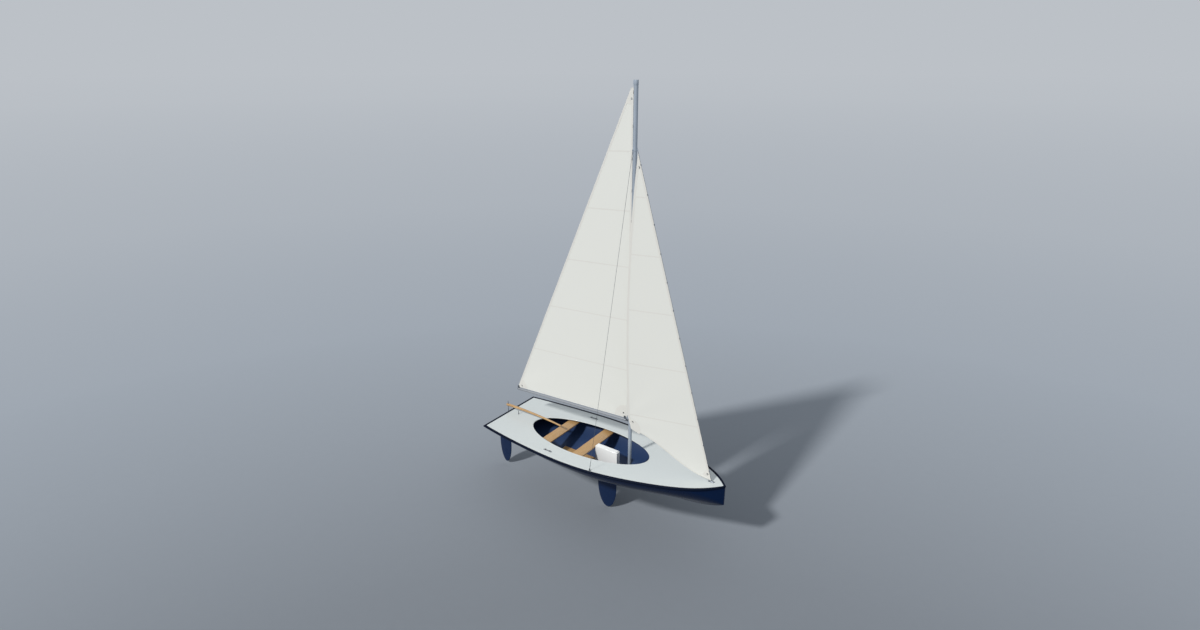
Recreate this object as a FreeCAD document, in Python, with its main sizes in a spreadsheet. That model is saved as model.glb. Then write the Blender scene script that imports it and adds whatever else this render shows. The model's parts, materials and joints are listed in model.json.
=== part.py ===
"""Sailing dinghy: open cockpit, daggerboard, transom-hung rudder, mast with mainsail and jib.

Millimetres. +X points at the bow, +Y to port, +Z up. The origin is on the waterline,
midway between the transom and the stem, on the centreline.
"""
import FreeCAD
import Part
import Sketcher
import math
import os

from FreeCAD import Placement, Rotation, Vector

doc = FreeCAD.newDocument("sailing_dinghy")
sheet = doc.addObject("Spreadsheet::Sheet", "Dimensions")

# alias, value in mm or degrees
DIMENSIONS = [
    # hull
    ("hull_length", 4800), ("hull_beam", 1790),
    ("freeboard_stern", 300), ("freeboard_middle", 320), ("freeboard_bow", 415),
    ("shell_thickness", 12), ("deck_thickness", 12), ("transom_thickness", 18),
    ("stem_half_width", 12), ("stem_depth", 75), ("topside_headroom", 60),
    ("rail_width", 24), ("rail_height", 28),
    # cockpit, distances forward of the transom
    ("cockpit_centre", 1996), ("cockpit_length", 2610), ("cockpit_width", 1070),
    ("thwart_width", 218), ("thwart_thickness", 26), ("thwart_top", 252),
    ("aft_thwart_centre", 1279), ("main_thwart_gap", 14),
    ("keelson_width", 180), ("keelson_top", -88), ("keelson_start", 1360),
    # daggerboard and its case
    ("board_centre", 2425), ("board_chord", 420), ("board_thickness", 22),
    ("board_tip", -1000), ("board_round", 500), ("board_clearance", 5),
    ("case_wall", 32), ("case_end_wall", 27), ("case_top", 278),
    ("head_overhang", 16), ("head_width", 76), ("head_thickness", 16), ("seat_gap", 0.3),
    # mast and standing rigging
    ("mast_centre", 2915), ("mast_diameter", 64), ("mast_wall", 3), ("mast_top", 6741),
    ("mast_step_length", 180), ("mast_step_width", 110), ("mast_step_top", -96),
    ("mast_socket_depth", 14), ("fit_clearance", 0.05),
    ("masthead_sleeve", 66), ("masthead_height", 8), ("masthead_wall", 2),
    ("masthead_back", 14), ("masthead_box", 30),
    ("hounds_height", 5745), ("band_thickness", 4), ("band_height", 50),
    ("tang_reach", 20), ("tang_width", 6), ("stay_diameter", 5), ("stay_inset", 8),
    ("foot_thickness", 4), ("lug_thickness", 6),
    ("chainplate_position", 2617), ("chainplate_inset", 45), ("chainplate_height", 40),
    ("chainplate_length", 44), ("chainplate_width", 24), ("chainplate_lug", 20),
    ("stem_fitting_setback", 255), ("stem_fitting_height", 26), ("stem_fitting_length", 112),
    ("stem_fitting_width", 34), ("stem_lug_length", 70), ("stem_lug_ahead", 20),
    ("bow_eye_diameter", 10), ("bow_eye_height", 16), ("bow_eye_ahead", 40),
    # boom, its gooseneck and the sails
    ("boom_pivot_gap", 26), ("boom_diameter", 42), ("boom_wall", 3), ("boom_length", 2560),
    ("gooseneck_height", 1022), ("boom_drop", 3.05), ("boom_nose", 34),
    ("gooseneck_pin_diameter", 8), ("gooseneck_plate", 5), ("gooseneck_lug", 24),
    ("toggle_setback", 6), ("toggle_cap", 8), ("gooseneck_pin_end", 4), ("end_cap", 10),
    ("sail_thickness", 4), ("main_foot_gap", 20), ("main_luff_gap", 12),
    ("main_tack_height", 112), ("main_head", 6638), ("main_head_width", 42),
    ("main_clew", 2612), ("clip_length", 40), ("clip_width", 18), ("clip_height", 34),
    ("clip_sunk", 6), ("outhaul_inset", 20), ("tack_clip_inset", 22),
    ("jib_head", 5704), ("jib_tack_gap", 4), ("jib_leech_round", 90),
    ("jib_clew_position", 3058), ("jib_clew_height", 1300), ("jib_clew_offset", 300),
    ("jib_foot_fore", 66), ("jib_foot_middle", 84), ("jib_foot_aft", 158),
    # rudder and tiller
    ("rudder_axis", 40), ("pintle_diameter", 8), ("pintle_fit", 0.05),
    ("blade_chord", 305), ("blade_thickness", 22), ("blade_front", 12), ("blade_tip", -958),
    ("blade_round", 470), ("blade_shoulder", 15), ("tang_chord", 144), ("tang_top", 124),
    ("stock_front", 55), ("cheek_thickness", 12), ("cheek_chord", 150),
    ("cheek_bottom", 4), ("cheek_top", 118),
    ("gudgeon_thickness", 6), ("gudgeon_width", 19), ("gudgeon_pad", 60),
    ("gudgeon_pad_height", 34), ("gudgeon_pad_thickness", 4),
    ("gudgeon_lower", 18), ("gudgeon_upper", 84),
    ("pintle_block", 16), ("pintle_block_ahead", 7), ("pintle_end", 6),
    ("strap_length", 78), ("strap_thickness", 3),
    ("post_diameter", 12), ("post_top", 520),
    ("tiller_aft", 80), ("tiller_aft_height", 425), ("tiller_aft_diameter", 52),
    ("tiller_middle_height", 434), ("tiller_end", 1331), ("tiller_end_height", 389),
    ("tiller_end_diameter", 30),
    # deck fittings
    ("fairlead_position", 1592), ("fairlead_inset", 167.689), ("fairlead_length", 180),
    ("fairlead_width", 26), ("fairlead_track", 8), ("fairlead_lead", 46),
    ("fairlead_lead_width", 16), ("fairlead_height", 14),
    ("sheet_post_position", 232), ("sheet_post_diameter", 14), ("sheet_post_height", 72),
    ("sheet_post_foot", 28),
]

# Hull sections, evenly spaced from the transom to the stem. beam: half-breadth at the sheer
# as a share of half the beam; keel: height of the keel; deadrise: slope of the bottom;
# flare: lean of the topside from upright; round: how much of the corner the bilge arc takes.
SECTION_COLUMNS = ("beam", "keel", "deadrise", "flare", "round")
SECTIONS = [
    ("transom", 0.815, -10, 10, 34, 0.90),
    ("quarter", 0.933, -95, 12, 32, 0.90),
    ("aft", 1.000, -142, 14, 30, 0.90),
    ("middle", 0.991, -172, 16, 26, 0.90),
    ("mast", 0.845, -188, 22, 22, 0.90),
    ("bow", 0.585, -165, 36, 20, 0.90),
    ("stem", 0.000, 42, 60, 0, 0.60),
]

SECTION_NAMES = [row[0] for row in SECTIONS]

row = 0
for alias, value in DIMENSIONS:
    row += 1
    sheet.set(f"A{row}", alias)
    sheet.set(f"B{row}", str(value))
    sheet.setAlias(f"B{row}", alias)
for name, *values in SECTIONS:
    for column, value in zip(SECTION_COLUMNS, values):
        row += 1
        sheet.set(f"A{row}", f"{name}_{column}")
        sheet.set(f"B{row}", str(value))
        sheet.setAlias(f"B{row}", f"{name}_{column}")
doc.recompute()


def size(alias):
    """The value of one cell of the sheet."""
    return float(getattr(sheet, alias))


def bind(obj, **properties):
    """Tie an object's properties to expressions in the sheet's aliases."""
    for name, expression in properties.items():
        obj.setExpression(name, expression)
    return obj


def cell(alias):
    return f"Dimensions.{alias}"


# ---- places worked out from the sheet ------------------------------------------------

TRANSOM_X = -size("hull_length") / 2
STEM_X = size("hull_length") / 2
MAST_X = TRANSOM_X + size("mast_centre")
MAST_RADIUS = size("mast_diameter") / 2
BOOM_AXIS_X = MAST_X - MAST_RADIUS - size("boom_pivot_gap")
BOARD_X = TRANSOM_X + size("board_centre")
RUDDER_AXIS_X = TRANSOM_X - size("rudder_axis")
SHROUD_X = TRANSOM_X + size("chainplate_position")
TACK_X = STEM_X - size("stem_fitting_setback")


def circle_height(x, points):
    """Height at x of the circle through three points of the XZ plane."""
    (x1, z1), (x2, z2), (x3, z3) = points
    a = x1 * (z2 - z3) - z1 * (x2 - x3) + x2 * z3 - x3 * z2
    b = (x1**2 + z1**2) * (z3 - z2) + (x2**2 + z2**2) * (z1 - z3) + (x3**2 + z3**2) * (z2 - z1)
    c = (x1**2 + z1**2) * (x2 - x3) + (x2**2 + z2**2) * (x3 - x1) + (x3**2 + z3**2) * (x1 - x2)
    centre_x, centre_z = -b / (2 * a), -c / (2 * a)
    radius = math.hypot(x1 - centre_x, z1 - centre_z)
    side = 1 if z2 > centre_z else -1
    return centre_z + side * math.sqrt(radius**2 - (x - centre_x) ** 2)


def sheer(x):
    """Height of the deck at its top, at x."""
    return circle_height(x, [
        (TRANSOM_X, size("freeboard_stern")),
        (0.0, size("freeboard_middle")),
        (STEM_X, size("freeboard_bow")),
    ])


# ---- shapes --------------------------------------------------------------------------

def section_wire(name, inset):
    """One hull section as lines and tangent arcs, moved in by inset from the outside."""
    deadrise = math.radians(size(f"{name}_deadrise"))
    flare = math.radians(size(f"{name}_flare"))
    half_beam = size(f"{name}_beam") * size("hull_beam") / 2
    share = SECTION_NAMES.index(name) / (len(SECTION_NAMES) - 1)
    x = TRANSOM_X + share * size("hull_length")
    if name == "stem":
        half_beam = size("stem_half_width")
        x -= size("stem_depth") if inset > 0 else inset
    elif name == "transom":
        x += min(inset, 0)
    keel = size(f"{name}_keel") + inset / math.cos(deadrise)
    half_beam = max(half_beam - inset / math.cos(flare), size("stem_half_width") / 4)
    top = sheer(x)
    # the corner where the line of the bottom meets the line of the topside
    corner_y = (half_beam - (top - keel) * math.tan(flare)) / (
        1 - math.tan(deadrise) * math.tan(flare))
    corner_z = keel + corner_y * math.tan(deadrise)
    bottom_run = corner_y / math.cos(deadrise)
    side_run = (top - corner_z) / math.cos(flare)
    setback = size(f"{name}_round") * min(bottom_run, side_run)
    turn = math.pi / 2 - flare - deadrise
    radius = setback / math.tan(turn / 2)
    bottom_end = Vector(0, corner_y - setback * math.cos(deadrise),
                        corner_z - setback * math.sin(deadrise))
    side_start = Vector(0, corner_y + setback * math.sin(flare),
                        corner_z + setback * math.cos(flare))
    centre = bottom_end + Vector(0, -math.sin(deadrise), math.cos(deadrise)) * radius
    towards_corner = Vector(0, corner_y, corner_z) - centre
    bilge = centre + towards_corner * (radius / towards_corner.Length)
    lift = size("topside_headroom")
    points = [
        Vector(0, 0, keel), bottom_end, bilge, side_start,
        Vector(0, half_beam + lift * math.tan(flare), top + lift),
    ]
    port = [Vector(x, p.y, p.z) for p in points]
    starboard = [Vector(x, -p.y, p.z) for p in points]

    def side(p):
        return [Part.LineSegment(p[0], p[1]).toShape(),
                Part.Arc(p[1], p[2], p[3]).toShape(),
                Part.LineSegment(p[3], p[4]).toShape()]

    top_edge = Part.LineSegment(port[4], starboard[4]).toShape()
    edges = side(port) + [top_edge] + side(starboard)[::-1]
    return Part.Wire(Part.__sortEdges__(edges))


def hull_form(inset):
    """The solid inside the hull's surface, moved in by inset, and past the deck at the top."""
    return Part.makeLoft([section_wire(name, inset) for name in SECTION_NAMES], True, False)


def sheer_band(above, below):
    """A slab that follows the sheer, from above it to below it, wider than the boat."""
    reach = size("hull_length") * 0.55
    side = size("hull_beam")

    def arc(offset):
        ends = [Vector(x, -side, sheer(x) + offset) for x in (-reach, 0, reach)]
        return Part.Arc(*ends).toShape(), ends[0], ends[2]

    upper, upper_aft, upper_fore = arc(above)
    lower, lower_aft, lower_fore = arc(-below)
    wire = Part.Wire(Part.__sortEdges__([
        upper, Part.LineSegment(upper_fore, lower_fore).toShape(),
        lower, Part.LineSegment(lower_aft, upper_aft).toShape()]))
    return Part.Face(wire).extrude(Vector(0, 2 * side, 0))


def block(x0, x1, y0, y1, z0, z1):
    return Part.makeBox(x1 - x0, y1 - y0, z1 - z0, Vector(x0, y0, z0))


def feature(label, shape):
    """A sub-part whose shape comes from Part's own functions."""
    obj = doc.addObject("Part::Feature", label)
    obj.Shape = shape
    obj.Label = label
    return obj


NODES = []


def node(obj, label):
    """Name an object as a sub-part that is handed on."""
    obj.Label = label
    NODES.append(obj)
    return obj


def cut(label, base, *tools):
    """base minus each tool, as Part::Cut objects."""
    for number, tool in enumerate(tools):
        step = doc.addObject("Part::Cut", f"{label}_cut_{number}")
        step.Base, step.Tool = base, tool
        base = step
    return base


def fuse(label, *pieces):
    """The pieces joined into one solid."""
    joined = doc.addObject("Part::MultiFuse", f"{label}_fuse")
    joined.Shapes = list(pieces)
    joined.Refine = True
    return joined


def common(label, base, tool):
    """What base and tool share."""
    both = doc.addObject("Part::Common", f"{label}_common")
    both.Base, both.Tool = base, tool
    return both


def box(label, length, width, height, corner):
    """Part::Box with its sizes bound to the sheet. corner is the low corner."""
    obj = doc.addObject("Part::Box", label)
    bind(obj, Length=length, Width=width, Height=height)
    obj.Placement = Placement(Vector(*corner), Rotation())
    return obj


def cylinder(label, radius, height, start, direction=(0, 0, 1)):
    """Part::Cylinder from start along direction. radius and height are expressions."""
    obj = doc.addObject("Part::Cylinder", label)
    bind(obj, Radius=radius, Height=height)
    turn = Rotation(Vector(0, 0, 1), Vector(*direction))
    obj.Placement = Placement(Vector(*start), turn)
    return obj


def half(alias):
    """Expression for half of one cell."""
    return f"Dimensions.{alias} / 2"


UPRIGHT = Placement(Vector(0, 0, 0), Rotation(Vector(1, 0, 0), 90))


def plate(label, curves, thickness, plane=UPRIGHT, corners=()):
    """A PartDesign body: closed sketch curves in a plane, padded evenly to both sides.

    corners are (x expression, y expression) pairs; where they are given, the curves are the
    straight lines between them and each corner's place is bound to its two expressions.
    """
    body = doc.addObject("PartDesign::Body", label)
    sketch = body.newObject("Sketcher::SketchObject", f"{label}_sketch")
    sketch.Placement = plane
    for curve in curves:
        sketch.addGeometry(curve)
    for number, expressions in enumerate(corners):
        before = number - 1 if number else len(corners) - 1
        sketch.addConstraint(Sketcher.Constraint("Coincident", before, 2, number, 1))
        start = curves[number].StartPoint
        for kind, value, expression in zip(("DistanceX", "DistanceY"), (start.x, start.y),
                                           expressions):
            place = sketch.addConstraint(Sketcher.Constraint(kind, -1, 1, number, 1, value))
            sketch.setExpression(f"Constraints[{place}]", expression)
    pad = body.newObject("PartDesign::Pad", f"{label}_pad")
    pad.Profile = sketch
    pad.SideType = "Symmetric"
    pad.setExpression("Length", thickness)
    return body


def polygon(points):
    """The straight sides of a closed polygon in a sketch's plane."""
    corners = [Vector(x, y, 0) for x, y in points]
    return [Part.LineSegment(a, b) for a, b in zip(corners, corners[1:] + corners[:1])]


# ---- hull ----------------------------------------------------------------------------

outer_form = hull_form(0.0)
inner_form = hull_form(size("shell_thickness"))
rail_form = hull_form(-size("rail_width"))
above_deck = sheer_band(size("topside_headroom") * 4, size("deck_thickness"))
deck_band = sheer_band(0.0, size("deck_thickness"))
rail_band = sheer_band(0.0, size("rail_height"))

slot_shape = block(
    BOARD_X - size("board_chord") / 2 - size("board_clearance"),
    BOARD_X + size("board_chord") / 2 + size("board_clearance"),
    -size("board_thickness") / 2 - size("board_clearance"),
    size("board_thickness") / 2 + size("board_clearance"),
    -size("hull_beam"), size("hull_beam"))

hull_shell = outer_form.cut(inner_form).cut(above_deck).cut(slot_shape)
node(feature("hull_shell", hull_shell), "hull_shell")

transom_slab = block(TRANSOM_X, TRANSOM_X + size("transom_thickness"),
                     -size("hull_beam"), size("hull_beam"), -size("hull_beam"), size("hull_beam"))
node(feature("transom", inner_form.common(transom_slab).cut(above_deck)), "transom")

cockpit_middle = Vector(TRANSOM_X + size("cockpit_centre"), 0, -size("hull_beam"))
cockpit_edge = Part.Ellipse(cockpit_middle, size("cockpit_length") / 2, size("cockpit_width") / 2)
cockpit_hole = Part.Face(Part.Wire(cockpit_edge.toShape())).extrude(
    Vector(0, 0, 2 * size("hull_beam")))
deck_shape = outer_form.common(deck_band).cut(cockpit_hole)
deck = node(feature("deck", deck_shape), "deck")

rail_shape = rail_form.common(rail_band).cut(outer_form)
node(feature("rub_rail", rail_shape), "rub_rail")

case_length = size("board_chord") + 2 * (size("board_clearance") + size("case_end_wall"))
case_width = size("board_thickness") + 2 * (size("board_clearance") + size("case_wall"))
case_slab = block(BOARD_X - case_length / 2, BOARD_X + case_length / 2,
                  -case_width / 2, case_width / 2, -size("hull_beam") / 2, size("case_top"))
node(feature("daggerboard_case", inner_form.common(case_slab).cut(slot_shape)),
     "daggerboard_case")

inside = feature("hull_inside", inner_form)
below_deck = feature("below_deck", outer_form.cut(sheer_band(size("topside_headroom") * 4, 0.0)))
# the main thwart stands aft of the daggerboard's case
main_thwart_x = (BOARD_X - case_length / 2 - size("main_thwart_gap")
                 - size("thwart_width") / 2)
for label, middle_x in (("aft_thwart", TRANSOM_X + size("aft_thwart_centre")),
                        ("main_thwart", main_thwart_x)):
    plank = box(f"{label}_plank", cell("thwart_width"), cell("hull_beam"),
                cell("thwart_thickness"),
                (middle_x - size("thwart_width") / 2, -size("hull_beam") / 2,
                 size("thwart_top") - size("thwart_thickness")))
    node(common(label, plank, inside), label)

keelson_plank = box(
    "keelson_plank",
    f"Dimensions.board_centre - {case_length / 2} - Dimensions.keelson_start",
    cell("keelson_width"), "Dimensions.hull_beam / 2 + Dimensions.keelson_top",
    (TRANSOM_X + size("keelson_start"), -size("keelson_width") / 2, -size("hull_beam") / 2))
node(common("keelson", keelson_plank, inside), "keelson")

# ---- daggerboard ---------------------------------------------------------------------

board_top = size("case_top") + size("seat_gap")
board_half = size("board_chord") / 2
shoulder = size("board_tip") + size("board_round")


def tip_arc(middle, half_width, low, high):
    """Half an ellipse that hangs from the height high to the height low, left end first."""
    centre = Vector(middle, high, 0)
    right = Vector(middle + half_width, high, 0)
    depth = high - low
    if depth >= half_width:
        down = Part.Ellipse(Vector(middle, low, 0), right, centre)
        return Part.ArcOfEllipse(down, -math.pi / 2, math.pi / 2)
    flat = Part.Ellipse(right, Vector(middle, high + depth, 0), centre)
    return Part.ArcOfEllipse(flat, math.pi, 2 * math.pi)


def foil(label, middle, half_width, low, high, upper, thickness):
    """A blade with half an ellipse at its tip and the line of points upper above it.

    upper runs from the tip's left end, over the top, to its right end.
    """
    points = [(middle - half_width, high), *upper, (middle + half_width, high)]
    corners = [Vector(x, z, 0) for x, z in points]
    sides = [Part.LineSegment(a, b) for a, b in zip(corners, corners[1:])]
    return plate(label, [tip_arc(middle, half_width, low, high)] + sides, thickness)


node(foil("daggerboard_plate", BOARD_X, board_half, size("board_tip"), shoulder,
          [(BOARD_X - board_half, board_top), (BOARD_X + board_half, board_top)],
          cell("board_thickness")), "daggerboard")
node(box("daggerboard_head_plate", "Dimensions.board_chord + 2 * Dimensions.head_overhang",
         cell("head_width"), cell("head_thickness"),
         (BOARD_X - board_half - size("head_overhang"), -size("head_width") / 2, board_top)),
     "daggerboard_head")

# ---- mast and its fittings -----------------------------------------------------------

mast_base = size("mast_step_top") - size("mast_socket_depth")
step_slab = block(MAST_X - size("mast_step_length") / 2, MAST_X + size("mast_step_length") / 2,
                  -size("mast_step_width") / 2, size("mast_step_width") / 2,
                  -size("hull_beam") / 2, size("mast_step_top"))
step_socket = Part.makeCylinder(MAST_RADIUS + size("fit_clearance"), size("mast_diameter"),
                                Vector(MAST_X, 0, mast_base))
node(feature("mast_step", inner_form.common(step_slab).cut(step_socket)), "mast_step")

mast_height = "Dimensions.mast_top - Dimensions.mast_step_top + Dimensions.mast_socket_depth"
mast_outside = cylinder("mast_outside", "Dimensions.mast_diameter / 2", mast_height,
                        (MAST_X, 0, mast_base))
mast_bore = cylinder("mast_bore", "Dimensions.mast_diameter / 2 - Dimensions.mast_wall",
                     mast_height, (MAST_X, 0, mast_base))
node(cut("mast", mast_outside, mast_bore), "mast")
masthead_low = size("mast_top") - size("masthead_sleeve")
masthead_sleeve = cylinder(
    "masthead_sleeve", "Dimensions.mast_diameter / 2 + Dimensions.masthead_wall",
    "Dimensions.masthead_sleeve + Dimensions.masthead_height", (MAST_X, 0, masthead_low))
sheave_box = box(
    "sheave_box", "Dimensions.mast_diameter / 2 + Dimensions.masthead_back",
    cell("masthead_box"), "Dimensions.masthead_sleeve + Dimensions.masthead_height",
    (MAST_X - MAST_RADIUS - size("masthead_back"), -size("masthead_box") / 2, masthead_low))
masthead = fuse("masthead", masthead_sleeve, sheave_box)
mast_fit = cylinder("mast_fit", "Dimensions.mast_diameter / 2 + Dimensions.fit_clearance",
                    mast_height, (MAST_X, 0, mast_base))
node(cut("masthead_cap", masthead, mast_fit), "masthead_cap")

band_inside = MAST_RADIUS + size("fit_clearance")
band_outside = band_inside + size("band_thickness")
band_low = size("hounds_height") - size("band_height") / 2
band = Part.makeCylinder(band_outside, size("band_height"), Vector(MAST_X, 0, band_low)).cut(
    Part.makeCylinder(band_inside, size("band_height"), Vector(MAST_X, 0, band_low)))
mast_core = Part.makeCylinder(band_inside, size("band_height"), Vector(MAST_X, 0, band_low))


def tang(direction):
    """A plate that stands out of the hounds band towards a stay."""
    reach = band_outside + size("tang_reach")
    plate = block(0, reach, -size("tang_width") / 2, size("tang_width") / 2,
                  band_low, band_low + size("band_height") / 2)
    plate.rotate(Vector(0, 0, 0), Vector(0, 0, 1), direction)
    plate.translate(Vector(MAST_X, 0, 0))
    return plate.cut(mast_core)


def half_breadth(x):
    """Half-breadth of the deck at x, from the corners of a thin strip of it."""
    strip = deck.Shape.common(block(x - 1, x + 1, 0, size("hull_beam"),
                                    -size("hull_beam"), size("hull_beam")))
    return max(corner.Y for corner in strip.Vertexes)


SHROUD_Y = half_breadth(SHROUD_X) - size("chainplate_inset")
shroud_bearing = math.degrees(math.atan2(SHROUD_Y, SHROUD_X - MAST_X))
hounds = band.fuse([tang(0), tang(shroud_bearing), tang(-shroud_bearing)]).removeSplitter()
hounds_node = node(feature("hounds_band", hounds), "hounds_band")

# ---- chainplates, stem fitting and stays -----------------------------------------------


def on_deck(label, x, y, foot_size, lug_size, lug_ahead=0.0):
    """A foot plate with an upright lug on it, seated on the deck's own surface at x, y.

    foot_size and lug_size are the aliases of length, width and height; lug_ahead moves the
    lug towards the bow.
    """
    base = sheer(x)
    length, width = size(foot_size[0]), size(foot_size[1])
    foot = box(f"{label}_foot", cell(foot_size[0]), cell(foot_size[1]),
               f"Dimensions.{foot_size[2]} + Dimensions.deck_thickness",
               (x - length / 2, y - width / 2, base - size("deck_thickness")))
    length, width = size(lug_size[0]), size(lug_size[1])
    lug = box(f"{label}_lug", cell(lug_size[0]), cell(lug_size[1]), cell(lug_size[2]),
              (x + lug_ahead - length / 2, y - width / 2, base))
    return cut(label, fuse(label, foot, lug), below_deck)


def stay(label, start, end, *fittings):
    """A round stay from start to end, trimmed where the fittings hold it."""
    run = Vector(*end) - Vector(*start)
    rod = cylinder(f"{label}_rod", half("stay_diameter"), str(run.Length), start, run)
    node(cut(label, rod, *fittings), label)


hounds_z = band_low + size("stay_inset")
tang_x = band_outside + size("tang_reach") - size("stay_inset")
chainplate_z = sheer(SHROUD_X) + size("chainplate_height") - size("stay_inset")
for side, sign in (("port", 1), ("starboard", -1)):
    chainplate = node(on_deck(
        f"chainplate_{side}", SHROUD_X, sign * SHROUD_Y,
        ("chainplate_length", "chainplate_width", "foot_thickness"),
        ("chainplate_lug", "lug_thickness", "chainplate_height")), f"chainplate_{side}")
    bearing = math.radians(sign * shroud_bearing)
    top = (MAST_X + tang_x * math.cos(bearing), tang_x * math.sin(bearing), hounds_z)
    stay(f"shroud_{side}", (SHROUD_X, sign * SHROUD_Y, chainplate_z), top, chainplate,
         hounds_node)

stem_plate = on_deck("stem_plate", TACK_X, 0,
                     ("stem_fitting_length", "stem_fitting_width", "foot_thickness"),
                     ("stem_lug_length", "lug_thickness", "stem_fitting_height"),
                     size("stem_lug_ahead"))
eye_x = TACK_X + size("bow_eye_ahead")
bow_eye = cylinder("bow_eye", half("bow_eye_diameter"), cell("stem_fitting_width"),
                   (eye_x, -size("stem_fitting_width") / 2,
                    sheer(TACK_X) + size("bow_eye_height")), (0, 1, 0))
stem_fitting = node(cut("stem_fitting", stem_plate, bow_eye), "stem_fitting")
stay_foot = (TACK_X, 0, sheer(TACK_X) + size("stem_fitting_height") - size("stay_inset"))
stay_head = (MAST_X + tang_x, 0, hounds_z)
stay("forestay", stay_foot, stay_head, stem_fitting, hounds_node)

# ---- boom and gooseneck ----------------------------------------------------------------

lug_half = size("gooseneck_lug") / 2
goose_z = size("gooseneck_height")
bracket_half_height = lug_half + size("seat_gap") + size("gooseneck_plate")
bracket_size = "Dimensions.gooseneck_lug + 2 * (Dimensions.seat_gap + Dimensions.gooseneck_plate)"
bracket_outline = box(
    "bracket_outline", "Dimensions.gooseneck_lug / 2 + Dimensions.boom_pivot_gap"
    " + Dimensions.mast_diameter / 2", cell("gooseneck_lug"), bracket_size,
    (BOOM_AXIS_X - lug_half, -lug_half, goose_z - bracket_half_height))
bracket_gap = box(
    "bracket_gap", "2 * Dimensions.gooseneck_lug + Dimensions.seat_gap",
    "2 * Dimensions.gooseneck_lug", "Dimensions.gooseneck_lug + 2 * Dimensions.seat_gap",
    (BOOM_AXIS_X - 3 * lug_half, -2 * lug_half, goose_z - lug_half - size("seat_gap")))
bracket_hole = cylinder(
    "bracket_hole", "Dimensions.gooseneck_pin_diameter / 2 + Dimensions.fit_clearance",
    f"2 * ({bracket_size})", (BOOM_AXIS_X, 0, goose_z - 2 * bracket_half_height))
node(cut("gooseneck_bracket", bracket_outline, bracket_gap, bracket_hole, mast_fit),
     "gooseneck_bracket")

boom_angle = math.radians(size("boom_drop"))
boom_way = Vector(-math.cos(boom_angle), 0, -math.sin(boom_angle))
boom_start = Vector(BOOM_AXIS_X, 0, goose_z) + boom_way * size("boom_nose")
boom_outside = cylinder("boom_outside", half("boom_diameter"), cell("boom_length"),
                        boom_start, boom_way)
boom_bore = cylinder("boom_bore", "Dimensions.boom_diameter / 2 - Dimensions.boom_wall",
                     cell("boom_length"), boom_start, boom_way)
node(cut("boom", boom_outside, boom_bore), "boom")

toggle_body = box(
    "toggle_body", "Dimensions.gooseneck_lug - Dimensions.toggle_setback",
    half("gooseneck_lug"), cell("gooseneck_lug"),
    (BOOM_AXIS_X - lug_half, -lug_half / 2, goose_z - lug_half))
toggle_cap = cylinder("toggle_end", half("boom_diameter"), cell("toggle_cap"),
                      boom_start - boom_way * size("toggle_cap"), boom_way)
toggle_neck = cylinder("toggle_neck", "Dimensions.gooseneck_lug / 4", cell("boom_nose"),
                       (BOOM_AXIS_X, 0, goose_z), boom_way)
toggle_pin = cylinder("toggle_pin", half("gooseneck_pin_diameter"),
                      f"{bracket_size} + 2 * Dimensions.gooseneck_pin_end",
                      (BOOM_AXIS_X, 0,
                       goose_z - bracket_half_height - size("gooseneck_pin_end")))
node(fuse("gooseneck_toggle", toggle_body, toggle_cap, toggle_neck, toggle_pin),
     "gooseneck_toggle")

boom_end = boom_start + boom_way * size("boom_length")
node(cylinder("boom_plug", half("boom_diameter"), cell("end_cap"), boom_end, boom_way),
     "boom_end_cap")


def boom_top(x):
    """Height of the top of the boom above x."""
    along = (BOOM_AXIS_X - x) / math.cos(boom_angle)
    return goose_z - along * math.sin(boom_angle) + size("boom_diameter") / 2 / math.cos(boom_angle)


# ---- sails -----------------------------------------------------------------------------

luff_x = BOOM_AXIS_X + size("main_luff_gap")
clew_x = luff_x - size("main_clew")
tack_x = BOOM_AXIS_X - size("boom_nose")
luff = f"{BOOM_AXIS_X} + Dimensions.main_luff_gap"
foot = "Dimensions.main_foot_gap"
mainsail = node(plate("mainsail_plate", polygon([
    (luff_x, goose_z + size("main_tack_height")),
    (luff_x, size("main_head")),
    (luff_x - size("main_head_width"), size("main_head")),
    (clew_x, boom_top(clew_x) + size("main_foot_gap")),
    (tack_x, boom_top(tack_x) + size("main_foot_gap")),
]), cell("sail_thickness"), corners=[
    (luff, "Dimensions.gooseneck_height + Dimensions.main_tack_height"),
    (luff, cell("main_head")),
    (f"{luff} - Dimensions.main_head_width", cell("main_head")),
    (f"{luff} - Dimensions.main_clew", f"{boom_top(clew_x)} + {foot}"),
    (f"{BOOM_AXIS_X} - Dimensions.boom_nose", f"{boom_top(tack_x)} + {foot}"),
]), "mainsail")

boom_solid = cylinder("boom_solid", half("boom_diameter"),
                      "Dimensions.boom_length + Dimensions.end_cap", boom_start, boom_way)
clip_size = "Dimensions.clip_sunk + Dimensions.main_foot_gap + Dimensions.clip_height"
for label, at_x in (("clew_outhaul", clew_x + size("outhaul_inset")),
                    ("tack_clip", tack_x - size("tack_clip_inset"))):
    clip = box(f"{label}_block", cell("clip_length"), cell("clip_width"), clip_size,
               (at_x - size("clip_length") / 2, -size("clip_width") / 2,
                boom_top(at_x) - size("clip_sunk")))
    node(cut(label, clip, boom_solid, mainsail), label)

stay_run = Vector(*stay_head) - Vector(*stay_foot)
luff_gap = Vector(-1, 0, 0) * (size("stay_diameter") / 2 + size("seat_gap")) * (
    stay_run.Length / stay_run.z)


def on_luff(height):
    """The point of the jib's luff at a height, just behind the forestay."""
    return Vector(*stay_foot) + stay_run * ((height - stay_foot[2]) / stay_run.z) + luff_gap


jib_tack = on_luff(sheer(TACK_X) + size("stem_fitting_height") + size("jib_tack_gap"))
jib_head = on_luff(size("jib_head"))
jib_clew = Vector(TRANSOM_X + size("jib_clew_position"), -size("jib_clew_offset"),
                  size("jib_clew_height"))
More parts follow.
